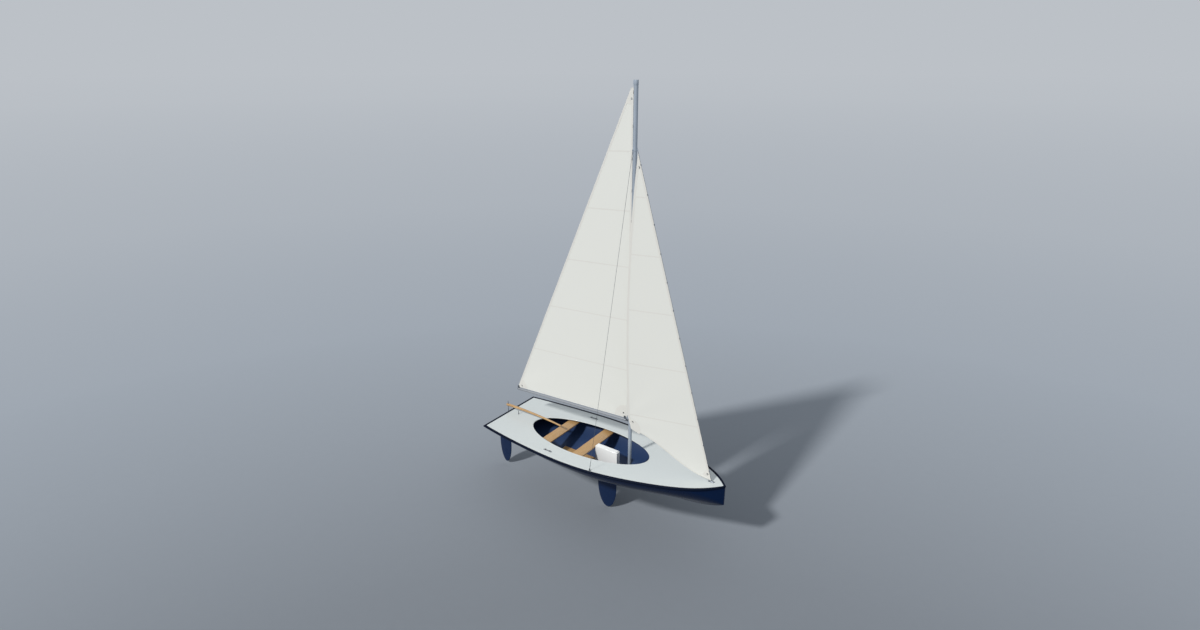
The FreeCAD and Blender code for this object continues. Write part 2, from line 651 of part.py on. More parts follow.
# the sail's own plane: x from the tack towards the head, y towards the clew
luff_way = (jib_head - jib_tack).normalize()
clew_way = jib_clew - jib_tack
clew_way = (clew_way - luff_way * clew_way.dot(luff_way)).normalize()
jib_normal = luff_way.cross(clew_way)
jib_plane = Placement(FreeCAD.Matrix(
    luff_way.x, clew_way.x, jib_normal.x, jib_tack.x,
    luff_way.y, clew_way.y, jib_normal.y, jib_tack.y,
    luff_way.z, clew_way.z, jib_normal.z, jib_tack.z, 0, 0, 0, 1))


def in_plane(point):
    """A point of space in the sail's own plane."""
    return Vector((point - jib_tack).dot(luff_way), (point - jib_tack).dot(clew_way), 0)


def beside(start, end, share, distance):
    """The point at a share of the way from start to end, moved distance to the right."""
    way = end - start
    return start + way * share + Vector(way.y, -way.x, 0) * (distance / way.Length)


tack, head, clew = in_plane(jib_tack), in_plane(jib_head), in_plane(jib_clew)
# places along the line from the clew to the tack where the foot's drop is given
JIB_FOOT = ((0.095, "jib_foot_aft"), (0.44, "jib_foot_middle"), (0.88, "jib_foot_fore"))
foot_points = [beside(tack, clew, 1 - share, -size(alias)) for share, alias in JIB_FOOT]
foot_curve = Part.BSplineCurve()
foot_curve.interpolate(foot_points + [tack])
jib = plate("jib_plate", [
    Part.LineSegment(tack, head),
    Part.Arc(head, beside(clew, head, 0.5, -size("jib_leech_round")), clew),
    Part.LineSegment(clew, foot_points[0]),
    foot_curve,
], cell("sail_thickness"), jib_plane)
node(jib, "jib")

# ---- rudder ----------------------------------------------------------------------------

blade_half = size("blade_chord") / 2
blade_middle = TRANSOM_X - size("blade_front") - blade_half
stock_front_x = TRANSOM_X - size("stock_front")
shoulder_z = -size("blade_shoulder")
node(foil("rudder_plate", blade_middle, blade_half, size("blade_tip"),
          size("blade_tip") + size("blade_round"), [
              (blade_middle - blade_half, shoulder_z),
              (stock_front_x - size("tang_chord"), shoulder_z),
              (stock_front_x - size("tang_chord"), size("tang_top")),
              (stock_front_x, size("tang_top")),
              (stock_front_x, shoulder_z),
              (blade_middle + blade_half, shoulder_z),
          ], cell("blade_thickness")), "rudder_blade")

stock_half = size("blade_thickness") / 2 + size("cheek_thickness")
for side, low_y in (("port", size("blade_thickness") / 2), ("starboard", -stock_half)):
    node(box(f"rudder_cheek_{side}_board", cell("cheek_chord"), cell("cheek_thickness"),
             "Dimensions.cheek_top - Dimensions.cheek_bottom",
             (stock_front_x - size("cheek_chord"), low_y, size("cheek_bottom"))),
         f"rudder_cheek_{side}")

thick = size("gudgeon_thickness")
strap_half = stock_half + size("strap_thickness")
strap_width = (
    "Dimensions.blade_thickness + 2 * (Dimensions.cheek_thickness + Dimensions.strap_thickness)")
for level in ("lower", "upper"):
    z = size(f"gudgeon_{level}")
    arm = box(f"gudgeon_{level}_arm", cell("rudder_axis"), cell("gudgeon_width"),
              cell("gudgeon_thickness"), (RUDDER_AXIS_X, -size("gudgeon_width") / 2, z))
    nose = cylinder(f"gudgeon_{level}_nose", half("gudgeon_width"), cell("gudgeon_thickness"),
                    (RUDDER_AXIS_X, 0, z))
    pad = box(f"gudgeon_{level}_pad", cell("gudgeon_pad_thickness"), cell("gudgeon_pad"),
              cell("gudgeon_pad_height"),
              (TRANSOM_X - size("gudgeon_pad_thickness"), -size("gudgeon_pad") / 2,
               z + (thick - size("gudgeon_pad_height")) / 2))
    eye = cylinder(f"gudgeon_{level}_eye", "Dimensions.pintle_diameter / 2 + Dimensions.pintle_fit",
                   "3 * Dimensions.gudgeon_thickness", (RUDDER_AXIS_X, 0, z - thick))
    node(cut(f"gudgeon_{level}", fuse(f"gudgeon_{level}", arm, nose, pad), eye),
         f"gudgeon_{level}")
    seat = z + thick + size("seat_gap")
    front = box(f"pintle_{level}_front",
                "Dimensions.stock_front - Dimensions.rudder_axis + Dimensions.pintle_block_ahead",
                cell("pintle_block"), cell("pintle_block"),
                (stock_front_x, -size("pintle_block") / 2, seat))
    strap = box(f"pintle_{level}_strap", "Dimensions.strap_length + Dimensions.strap_thickness",
                strap_width, cell("pintle_block"),
                (stock_front_x - size("strap_length"), -strap_half, seat))
    stock = box(f"pintle_{level}_stock", "2 * Dimensions.strap_length",
                "Dimensions.blade_thickness + 2 * Dimensions.cheek_thickness",
                "3 * Dimensions.pintle_block",
                (stock_front_x - 2 * size("strap_length"), -stock_half,
                 seat - size("pintle_block")))
    pin = cylinder(f"pintle_{level}_pin", half("pintle_diameter"),
                   "Dimensions.pintle_end + Dimensions.gudgeon_thickness + Dimensions.seat_gap",
                   (RUDDER_AXIS_X, 0, z - size("pintle_end")))
    node(fuse(f"pintle_{level}", front, cut(f"pintle_{level}_strap", strap, stock), pin),
         f"pintle_{level}")

post_foot = size("gudgeon_upper") + thick + size("seat_gap") + size("pintle_block")
node(cylinder("rudder_post_rod", half("post_diameter"), f"Dimensions.post_top - {post_foot}",
              (RUDDER_AXIS_X, 0, post_foot)), "rudder_post")
post_bore = cylinder("post_bore", half("post_diameter"), cell("post_top"),
                     (RUDDER_AXIS_X, 0, post_foot))

TILLER_SECTIONS = 5
tiller_back = TRANSOM_X - size("tiller_aft")
tiller_front = TRANSOM_X + size("tiller_end")
tiller_line = [(tiller_back, size("tiller_aft_height")),
               ((tiller_back + tiller_front) / 2, size("tiller_middle_height")),
               (tiller_front, size("tiller_end_height"))]
tiller_rings = []
for number in range(TILLER_SECTIONS):
    share = number / (TILLER_SECTIONS - 1)
    x = tiller_back + share * (tiller_front - tiller_back)
    slope = circle_height(x + 1, tiller_line) - circle_height(x, tiller_line)
    ring = doc.addObject("Part::Circle", f"tiller_ring_{number}")
    bind(ring, Radius=f"(Dimensions.tiller_aft_diameter * {1 - share}"
                      f" + Dimensions.tiller_end_diameter * {share}) / 2")
    ring.Placement = Placement(Vector(x, 0, circle_height(x, tiller_line)),
                               Rotation(Vector(0, 0, 1), Vector(1, 0, slope)))
    tiller_rings.append(ring)
tiller_bar = doc.addObject("Part::Loft", "tiller_bar")
tiller_bar.Sections = tiller_rings
tiller_bar.Solid = True
node(cut("tiller", tiller_bar, post_bore), "tiller")

# ---- small deck fittings ---------------------------------------------------------------

fairlead_x = TRANSOM_X + size("fairlead_position")
fairlead_y = half_breadth(fairlead_x) - size("fairlead_inset")
for side, sign in (("port", 1), ("starboard", -1)):
    node(on_deck(f"fairlead_{side}", fairlead_x, sign * fairlead_y,
                 ("fairlead_length", "fairlead_width", "fairlead_track"),
                 ("fairlead_lead", "fairlead_lead_width", "fairlead_height")),
         f"fairlead_{side}")
post_x = TRANSOM_X + size("sheet_post_position")
post_base = (post_x, 0, sheer(post_x) - size("deck_thickness"))
sheet_post = cylinder("sheet_post_rod", half("sheet_post_diameter"),
                      "Dimensions.sheet_post_height + Dimensions.deck_thickness", post_base)
sheet_foot = cylinder("sheet_post_foot", half("sheet_post_foot"),
                      "Dimensions.foot_thickness + Dimensions.deck_thickness", post_base)
node(cut("sheet_post", fuse("sheet_post", sheet_post, sheet_foot), below_deck), "sheet_post")

# ---- checks and export -----------------------------------------------------------------

doc.recompute()
for obj in doc.Objects:
    if "Invalid" in obj.State or "Error" in obj.State:
        raise RuntimeError(f"{obj.Label} did not build: {obj.State}")
os.makedirs("parts", exist_ok=True)
for obj in NODES:
    shape = obj.Shape
    if shape.isNull() or not shape.isValid():
        raise RuntimeError(f"{obj.Label} has no valid shape")
for obj in NODES:
    obj.Shape.exportStep(f"parts/{obj.Label}.step")
    print(f"{obj.Label:24s} solids {len(obj.Shape.Solids)} volume {obj.Shape.Volume / 1e6:9.3f} l")
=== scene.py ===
"""Sailing dinghy: finishes, sails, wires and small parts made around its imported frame.

Metres. +X points at the bow, +Y to port, +Z up, with the origin on the waterline amidships.
"""
import json
import math
from contextlib import contextmanager

import bmesh
import bpy
import numpy as np
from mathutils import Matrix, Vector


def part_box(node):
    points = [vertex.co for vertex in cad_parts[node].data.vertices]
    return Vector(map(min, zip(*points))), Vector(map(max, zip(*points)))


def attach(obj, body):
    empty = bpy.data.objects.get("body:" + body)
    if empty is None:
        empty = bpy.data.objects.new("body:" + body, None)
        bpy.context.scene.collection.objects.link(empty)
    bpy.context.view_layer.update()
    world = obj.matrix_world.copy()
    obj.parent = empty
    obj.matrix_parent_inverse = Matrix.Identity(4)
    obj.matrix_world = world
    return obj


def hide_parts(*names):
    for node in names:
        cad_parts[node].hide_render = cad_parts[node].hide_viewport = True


bl_info = {
    "name": "Sailing Dinghy",
    "version": (1, 0, 0),
    "blender": (4, 5, 0),
    "location": "3D View > Sidebar > Dinghy",
    "description": "Finishes, sails, rigging and fittings of a small sailing dinghy",
    "category": "Object",
}

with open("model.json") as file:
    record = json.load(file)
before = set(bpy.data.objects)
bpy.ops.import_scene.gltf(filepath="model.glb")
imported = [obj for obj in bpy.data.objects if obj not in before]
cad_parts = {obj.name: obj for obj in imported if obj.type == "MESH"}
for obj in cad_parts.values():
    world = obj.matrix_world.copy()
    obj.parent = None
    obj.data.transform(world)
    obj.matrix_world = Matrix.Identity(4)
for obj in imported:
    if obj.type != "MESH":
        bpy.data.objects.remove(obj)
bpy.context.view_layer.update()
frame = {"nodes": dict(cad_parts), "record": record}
NODES = frame["nodes"]
BODY_OF = {node: name for name, members in frame["record"]["behaviour"]["bodies"].items()
           for node in members}
MM = 0.001
FORE, PORT, UP = np.eye(3)
# points closer than SAME are one point; an edge that turns by less than FLAT is no edge, and
# one that turns by more than CORNER is a corner
SAME, FLAT, CORNER = 1e-6, math.radians(1.0), math.radians(35.0)


# ---- what a user would change ---------------------------------------------------------

def colour(label, description, rgb):
    """A colour property, as the eye reads it on a screen."""
    return bpy.props.FloatVectorProperty(
        name=label, description=description, subtype="COLOR_GAMMA", size=3, min=0.0, max=1.0,
        default=tuple(channel / 255 for channel in rgb))


def length(label, description, metres):
    """A length property in metres."""
    return bpy.props.FloatProperty(
        name=label, description=description, subtype="DISTANCE", unit="LENGTH",
        min=0.0, max=10.0, default=metres, precision=4)


class DinghyColours(bpy.types.PropertyGroup):
    """Colours of the boat's finishes and of the stage."""
    # navy and inside are one navy gelcoat in two colours: the outside is painted darker as shade,
    # the inside painted lighter as light falling into the cockpit
    navy: colour("Navy gelcoat", "Outside of the hull", (8, 29, 62))
    inside: colour("Inside navy", "Inside of the hull", (40, 60, 97))
    foil: colour("Foil paint", "Daggerboard and rudder blade", (18, 37, 70))
    deck: colour("Deck gelcoat", "Deck moulding", (205, 211, 211))
    case: colour("Case gelcoat", "Daggerboard case and head", (244, 245, 244))
    rail: colour("Rubbing strake", "Strake along the edge of the deck", (6, 16, 36))
    wood_light: colour("Wood, light", "Pale bands of the varnished wood", (198, 162, 112))
    wood_dark: colour("Wood, dark", "Dark bands of the varnished wood", (163, 124, 80))
    # the mast's blue tint is partly a painted reflection of the navy hull, over the alloy's own
    # grey
    mast: colour("Mast", "Anodised mast", (168, 178, 190))
    boom: colour("Boom", "Anodised boom", (150, 154, 160))
    steel: colour("Stainless steel", "Fittings and screws", (146, 150, 156))
    wire: colour("Stay wire", "Shrouds and forestay", (122, 126, 132))
    black: colour("Black plastic", "End caps and small stops", (38, 40, 44))
    cloth: colour("Sailcloth", "Both sails", (222, 220, 214))
    thread: colour("Sail thread", "Stitching along seams and edges", (213, 211, 205))
    floor: colour("Floor", "Plain floor under the boat", (134, 140, 148))
    distance: colour("Backdrop", "Where the floor fades out, and the background", (188, 193, 199))


class DinghySizes(bpy.types.PropertyGroup):
    """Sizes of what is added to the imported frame."""
    freeboard_stern: length("Freeboard, stern", "Deck height at the transom", 0.300)
    freeboard_middle: length("Freeboard, middle", "Deck height amidships", 0.320)
    freeboard_bow: length("Freeboard, bow", "Deck height at the stem", 0.415)
    cockpit_length: length("Cockpit length", "Long axis of the oval opening", 2.610)
    cockpit_width: length("Cockpit width", "Short axis of the oval opening", 1.070)
    cockpit_aft: length("Cockpit centre", "From the transom to the opening's centre", 1.996)
    tiller_butt: length("Tiller butt", "Thickness of the tiller at its aft end", 0.052)
    tiller_tip: length("Tiller tip", "Thickness of the tiller at its forward end", 0.030)
    tiller_aft: length("Tiller height, aft", "Height of the tiller's middle at its butt", 0.425)
    tiller_middle: length("Tiller height, middle", "Height of its middle half way", 0.434)
    tiller_fore: length("Tiller height, tip", "Height of its middle at its tip", 0.389)
    board_round: length("Board tip", "Depth of the daggerboard's rounded tip", 0.500)
    blade_round: length("Rudder tip", "Depth of the rudder blade's rounded tip", 0.470)
    blade_shoulder: length("Rudder shoulder", "Depth of the blade's top", 0.015)
    tang_chord: length("Rudder tang", "Length of the blade's part between the cheeks", 0.144)
    seam_width: length("Seam width", "Overlap of two sail panels", 0.018)
    tabling_width: length("Tabling width", "Folded edge of a sail", 0.036)
    cloth_thickness: length("Cloth thickness", "Thickness of one layer of sailcloth", 0.0008)
    grommet_radius: length("Grommet radius", "Outer radius of a sail's eye", 0.016)
    wire_lay: length("Wire lay", "Length of one turn of a strand", 0.060)
    wire_radius: length("Wire radius", "Outer radius of a stay", 0.0025)
    edge_softness: length("Edge softness", "Rounding of boards and planks", 0.004)
    strake_reach: length("Strake reach", "How far the strake stands off the hull", 0.024)
    strake_cover: length("Strake cover", "How far the strake lies over the deck's edge", 0.034)
    strake_depth: length("Strake depth", "Height of the strake", 0.030)


# ---- numbers and places ---------------------------------------------------------------

def linear(rgb, share=1.0, more=0.0):
    """A colour as the eye reads it, as scene-linear RGBA, times a share, plus a little more."""
    c = np.asarray(rgb, float)
    low, high = c / 12.92, ((c + 0.055) / 1.055) ** 2.4
    return (*(np.where(c <= 0.04045, low, high) * share + more), 1.0)


def read_vectors(items, name):
    """A vector property of a mesh's vertices or polygons as an (n, 3) array."""
    flat = np.empty(len(items) * 3, np.float32)
    items.foreach_get(name, flat)
    return flat.reshape(-1, 3).astype(float)


def node_points(node):
    """The points of a CAD node's mesh as an (n, 3) array."""
    return read_vectors(NODES[node].data.vertices, "co")


def extreme(node, direction):
    """The point of a CAD node that lies furthest along a direction."""
    points = node_points(node)
    return points[np.argmax(points @ np.asarray(direction, float))]


def box_of(node):
    """The lowest and highest corners of a CAD node as arrays."""
    return np.array(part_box(node))


def unit(vectors):
    """A vector, or each row of an array, at length one."""
    vectors = np.asarray(vectors, float)
    return vectors / np.linalg.norm(vectors, axis=-1, keepdims=True)


def across(direction):
    """Two unit vectors that stand square to a direction and to each other."""
    direction = unit(direction)
    first = unit(np.cross(direction, FORE if abs(direction[0]) < 0.9 else PORT))
    return first, np.cross(direction, first)


def power(value, exponent):
    """A sine or cosine raised to an exponent with its sign kept, as in a superellipse."""
    return np.sign(value) * np.abs(value) ** exponent


def ring(count, exponent=1.0):
    """The cosines and sines of evenly spaced angles round a turn, raised to an exponent."""
    angle = np.linspace(0, 2 * np.pi, count, endpoint=False)
    return power(np.cos(angle), exponent), power(np.sin(angle), exponent)


def points_at(*coordinates):
    """Points from arrays of their coordinates, which are spread to one shape."""
    return np.stack(np.broadcast_arrays(*coordinates), -1)


def travelled(line):
    """The distance along a line at each of its points."""
    return np.concatenate([[0], np.cumsum(np.linalg.norm(np.diff(line, axis=0), axis=1))])


STERN, STEM = box_of("deck")[:, 0]


def sheer(sizes, x):
    """Deck height at x: the circle x^2 + z^2 + a x + b z + c = 0 through the freeboards."""
    xs = np.array([STERN, 0.0, STEM])
    zs = np.array([sizes.freeboard_stern, sizes.freeboard_middle, sizes.freeboard_bow])
    a, b, c = np.linalg.solve(np.stack([xs, zs, np.ones(3)], 1), -(xs ** 2 + zs ** 2))
    side = 1.0 if zs[1] > -b / 2 else -1.0
    return -b / 2 + side * np.sqrt(b * b / 4 - c - a * x - np.square(x))


# ---- pieces from arrays ---------------------------------------------------------------

def grid_quads(rows, columns, around=False):
    """Quads over a grid of points, row by row; around joins the last column to the first."""
    r = np.arange(rows - 1)[:, None]
    c = np.arange(columns if around else columns - 1)[None, :]
    right = (c + 1) % columns
    quads = np.stack([r * columns + c, r * columns + right,
                      (r + 1) * columns + right, (r + 1) * columns + c], -1)
    return quads.reshape(-1, 4)


def ringed(rings):
    """Rings of points, each joined to the next all round."""
    return rings, grid_quads(len(rings), rings.shape[1], around=True)


def capped(rings):
    """Rings of points joined in a row, and closed at both ends at the ring's middle."""
    first, last = (np.repeat(rings[[i]].mean(1, keepdims=True), rings.shape[1], 1)
                   for i in (0, -1))
    return ringed(np.concatenate([first, rings, last]))


def joined(parts):
    """Several (points, quads) or (points, quads, uvs) as one."""
    points = [part[0].reshape(-1, 3) for part in parts]
    offsets = np.cumsum([0] + [len(p) for p in points])
    quads = [part[1] + offset for part, offset in zip(parts, offsets)]
    rest = [np.concatenate([part[2] for part in parts])] if len(parts[0]) > 2 else []
    return (np.concatenate(points), np.concatenate(quads), *rest)


def placed(part, places):
    """Copies of a part, made about the origin along +Z: each place is (point, direction)."""
    return joined([(part[0].reshape(-1, 3) @ np.stack([*across(way), unit(way)]) + point,
                    *part[1:]) for point, way in places])


def moved(part, spots):
    """Copies of a part that aren't turned, one at each spot."""
    return joined([(part[0].reshape(-1, 3) + np.asarray(spot), part[1]) for spot in spots])


@contextmanager
def edited(mesh):
    """The mesh as a bmesh, which is written back at the end."""
    work = bmesh.new()
    work.from_mesh(mesh)
    yield work
    work.to_mesh(mesh)
    work.free()


def surface(name, part):
    """A mesh from (points, quads)."""
    mesh = bpy.data.meshes.new(name)
    mesh.from_pydata(part[0].reshape(-1, 3).tolist(), [], part[1].tolist())
    return mesh


def linked(name, data):
    """A new object in the scene."""
    made = bpy.data.objects.new(name, data)
    bpy.context.scene.collection.objects.link(made)
    return made


def set_smooth(mesh, smooth=True):
    """Shade all faces of a mesh smooth or flat."""
    mesh.polygons.foreach_set("use_smooth", np.full(len(mesh.polygons), smooth))


def add_piece(name, mesh, body, finishes, stands_for=None):
    """A piece that rides on a body, with its finishes, and may replace a node."""
    mesh.name = name
    mesh.materials.clear()
    for finish in finishes:
        mesh.materials.append(finish_of(finish))
    piece = linked(name, mesh)
    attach(piece, body)
    if stands_for:
        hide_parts(stands_for)
    return piece


def make_piece(name, part, body, finish, smooth=True, stands_for=None):
    """A piece from (points, quads) or (points, quads, uvs), closed at its seams and poles."""
    mesh = surface(name, part)
    if len(part) > 2:
        layer = mesh.uv_layers.new(name="UVMap")
        layer.data.foreach_set("uv", part[2].astype(np.float32).ravel())
    with edited(mesh) as work:
        bmesh.ops.remove_doubles(work, verts=work.verts, dist=SAME)
        bmesh.ops.recalc_face_normals(work, faces=work.faces)
    set_smooth(mesh, smooth)
    return add_piece(name, mesh, body, [finish], stands_for)


def apply_modifiers(piece):
    """Replace a piece's mesh by what its modifiers make of it."""
    bpy.context.view_layer.update()
    graph = bpy.context.evaluated_depsgraph_get()
    mesh = bpy.data.meshes.new_from_object(piece.evaluated_get(graph))
    piece.modifiers.clear()
    piece.data = mesh


def softened(name, node, finish, width):
    """A copy of a CAD node that stands for it, with its corners rounded to a width."""
    mesh = NODES[node].data.copy()
    with edited(mesh) as work:
        bmesh.ops.remove_doubles(work, verts=work.verts, dist=10 * SAME)
        bmesh.ops.dissolve_limit(work, angle_limit=FLAT, verts=work.verts, edges=work.edges)
        bmesh.ops.recalc_face_normals(work, faces=work.faces)
    set_smooth(mesh)
    piece = add_piece(name, mesh, BODY_OF[node], [finish], node)
    bevel = piece.modifiers.new("rounded edges", "BEVEL")
    bevel.width, bevel.segments, bevel.harden_normals = width, 3, True
    bevel.limit_method, bevel.angle_limit = "ANGLE", CORNER


def paint(nodes, finish):
    """Give CAD nodes a finish."""
    for node in nodes:
        for holder in NODES[node].material_slots:
            holder.material = finish_of(finish)


# ---- shapes ---------------------------------------------------------------------------

def lathe(profile, sides, scale=1.0, closed=False):
    """A profile of (radius, height) turned about +Z: (r cos a, r sin a, h)."""
    profile = np.array(profile, float) * scale
    if closed:
        profile = np.concatenate([profile, profile[:1]])
    radius, height = profile.T[..., None]
    cosine, sine = ring(sides)
    return ringed(points_at(radius * cosine, radius * sine, height))


def sweep(profile, path, side, other):
    """A closed profile of (side, other) offsets in millimetres, carried along a path."""
    profile = np.array(profile, float) * MM
    return capped(np.asarray(path)[:, None] + profile[:, :1] * side + profile[:, 1:] * other)


def rounded_block(half, roundness, rows=12, columns=20):
    """A superellipsoid about the origin: each of its sines and cosines is raised to roundness."""
    rise = np.linspace(-np.pi / 2, np.pi / 2, rows)[:, None]
    flat, tall = power(np.cos(rise), roundness), power(np.sin(rise), roundness)
    cosine, sine = ring(columns, roundness)
    return ringed(points_at(flat * cosine, flat * sine, tall) * half)


def stranded(start, end, radius, lay, strands=6, sides=24):
    """A laid wire: a ring whose radius swells over each strand, turned once in each lay.

    At angle a and distance s along the wire, the radius is R (0.86 + 0.14 |cos(n (a - t) / 2)|)
    with t = 2 pi s / lay and n strands.
    """
    long = np.linalg.norm(end - start)
    along = np.linspace(0, long, int(long / (lay / 10)) + 2)[:, None]
    cosine, sine = ring(sides)
    angle = np.linspace(0, 2 * np.pi, sides, endpoint=False)
    swell = 0.86 + 0.14 * np.abs(np.cos(strands * (angle - 2 * np.pi * along / lay) / 2))
    side, other = across(end - start)
    return capped(start + (along / long)[..., None] * (end - start) + radius
                  * ((cosine * swell)[..., None] * side + (sine * swell)[..., None] * other))


PAN_HEAD = lathe([(0, 0), (5.2, 0), (5.4, 0.8), (4.6, 2.2), (2.6, 3.0), (0, 3.2)], 14, MM)
HEX_HEAD = lathe([(0, 0), (8.5, 0), (8.5, 0.8), (6.4, 0.9), (6.4, 4.6), (5.4, 5.2), (0, 5.2)],
                 12, MM)


# ---- node trees -----------------------------------------------------------------------

class Shading:
    """A node tree, with short ways to add nodes to it."""

    def __init__(self, tree):
        self.tree = tree

    def feed(self, socket, value):
        """Link a value to a socket, or set it there."""
        if isinstance(value, bpy.types.NodeSocket):
            self.tree.links.new(value, socket)
        else:
            socket.default_value = value

    def add(self, kind, inputs=None, **settings):
        """A node with its settings, and with each input set or linked."""
        made = self.tree.nodes.new(kind)
        for key, value in settings.items():
            setattr(made, key, value)
        for key, value in (inputs or {}).items():
            self.feed(made.inputs[key], value)
        return made

    def maths(self, operation, *values):
        """A Math node's result."""
        return self.add("ShaderNodeMath", dict(enumerate(values)),
                        operation=operation).outputs[0]

    def times(self, first, second):
        """The product of two values."""
        return self.maths("MULTIPLY", first, second)

    def plus(self, first, second):
        """The sum of two values."""
        return self.maths("ADD", first, second)

    def minus(self, first, second):
        """The difference of two values."""
        return self.maths("SUBTRACT", first, second)

    def vectors(self, operation, *values):
        """A Vector Math node's outputs."""
        return self.add("ShaderNodeVectorMath", dict(enumerate(values)),
                        operation=operation).outputs

    def mixed(self, factor, first, second, blend="MIX"):
        """Two colours mixed by a factor."""
        made = self.add("ShaderNodeMix", {"Factor": factor}, data_type="RGBA", blend_type=blend)
        sockets = [socket for socket in made.inputs if socket.type == "RGBA"]
        for socket, value in zip(sockets, (first, second)):
            self.feed(socket, value)
        return [socket for socket in made.outputs if socket.type == "RGBA"][0]

    def noise(self, vector, scale, detail=3.0, roughness=0.55, stretch=None):
        """A noise value over a vector, each axis of which may be stretched by its own number."""
        if stretch:
            vector = self.vectors("MULTIPLY", vector, stretch)[0]
        return self.add("ShaderNodeTexNoise", {"Vector": vector, "Scale": scale,
                                               "Detail": detail,
                                               "Roughness": roughness}).outputs[0]

    def spread(self, value, low, high, to_low=0.0, to_high=1.0):
        """A value remapped from one range to another, and held inside it."""
        return self.add("ShaderNodeMapRange", {
            "Value": value, "From Min": low, "From Max": high, "To Min": to_low,
            "To Max": to_high}, clamp=True).outputs[0]

    def cells(self, vector, scale, **settings):
        """The distances of a Voronoi pattern."""
        return self.add("ShaderNodeTexVoronoi", {"Vector": vector, "Scale": scale},
                        **settings).outputs["Distance"]

    def turned(self, vector, along):
        """The vector turned so that its X runs along one of the boat's axes."""
        angles = {"X": (0.0, 0.0, 0.0), "Y": (0.0, 0.0, -math.pi / 2),
                  "Z": (0.0, math.pi / 2, 0.0)}
        return self.add("ShaderNodeMapping", {"Vector": vector, "Rotation": angles[along]},
                        vector_type="POINT").outputs[0]

    def seen(self):
        """One for rays that show the background: camera, glossy and transmission rays."""
        path = self.add("ShaderNodeLightPath").outputs
        return self.maths("MAXIMUM", path["Is Camera Ray"], self.maths(
            "MAXIMUM", path["Is Glossy Ray"], path["Is Transmission Ray"]))

    def blend(self, factor, shader, kind, rgb, output):
        """Feed the tree's output with a shader that gives way to a plain colour."""
        plain = self.add(kind, {"Color": linear(rgb), "Strength": 1.0}).outputs[0]
        mix = self.add("ShaderNodeMixShader", {0: factor, 1: shader, 2: plain})
        self.feed(self.tree.nodes[output].inputs["Surface"], mix.outputs[0])


class Finish(Shading):
    """A new material with a Principled BSDF whose plain sockets are set.

    where is the place that its pattern follows: the Object coordinates, or the piece's UV.
    """

    def __init__(self, name, uv=False, **sockets):
        self.material = bpy.data.materials.new(name)
        self.material.use_nodes = True
        super().__init__(self.material.node_tree)
        self.shader = self.tree.nodes["Principled BSDF"]
        for key, value in sockets.items():
            self.feed(self.shader.inputs[key.replace("_", " ")], value)
        self.where = (self.add("ShaderNodeUVMap", uv_map="UVMap").outputs[0] if uv
                      else self.add("ShaderNodeTexCoord").outputs["Object"])

    def group(self, group, **inputs):
        """A placed node group's outputs."""
        return self.add("ShaderNodeGroup", inputs, node_tree=group()).outputs

    def finished(self, tint, rough, height, strength, depth):
        """The material, with its colour, roughness and bump fed."""
        bump = self.add("ShaderNodeBump", {"Height": height, "Strength": strength,
                                           "Distance": depth})
        for key, value in (("Base Color", tint), ("Roughness", rough),
                           ("Normal", bump.outputs[0])):
            self.feed(self.shader.inputs[key], value)
        return self.material


SOCKET_KINDS = {"Vector": "NodeSocketVector", "Light": "NodeSocketColor",
                "Dark": "NodeSocketColor", "Colour": "NodeSocketColor"}


def grouped(name, outputs, **inputs):
    """Makes a function that fills a node tree into one that gives its node group, built once.

    The inputs have their defaults; the function returns what feeds each of the outputs.
    """
    def wrap(build):
        def group():
            if name in bpy.data.node_groups:
                return bpy.data.node_groups[name]
            tree = bpy.data.node_groups.new(name, "ShaderNodeTree")
            for way, labels in (("INPUT", inputs), ("OUTPUT", outputs)):
                for label in labels:
                    socket = tree.interface.new_socket(
                        label, in_out=way, socket_type=SOCKET_KINDS.get(label, "NodeSocketFloat"))
                    if inputs.get(label) is not None:
                        socket.default_value = inputs[label]
            entry, leave = tree.nodes.new("NodeGroupInput"), tree.nodes.new("NodeGroupOutput")
            for label, value in build(Shading(tree), entry.outputs).items():
                tree.links.new(value, leave.inputs[label])
            return tree
        return group
    return wrap


@grouped("Weathering", ("Blotch", "Runs", "Scuffs"), Vector=None, Scale=1.6)
def weathering(tree, given):
    """Soft blotches, fine runs down the surface and small scuffs, as three masks."""
    where = given["Vector"]
    blotch = tree.noise(where, given["Scale"], 4.0)
    runs = tree.noise(where, 6.0, 5.0, 0.7, stretch=(9.0, 9.0, 0.7))
    scuff = tree.noise(where, 60.0, 6.0, 0.75, stretch=(3.0, 1.0, 1.0))
    return {"Blotch": tree.spread(blotch, 0.35, 0.68), "Runs": tree.spread(runs, 0.50, 0.78),
            "Scuffs": tree.spread(scuff, 0.62, 0.72)}


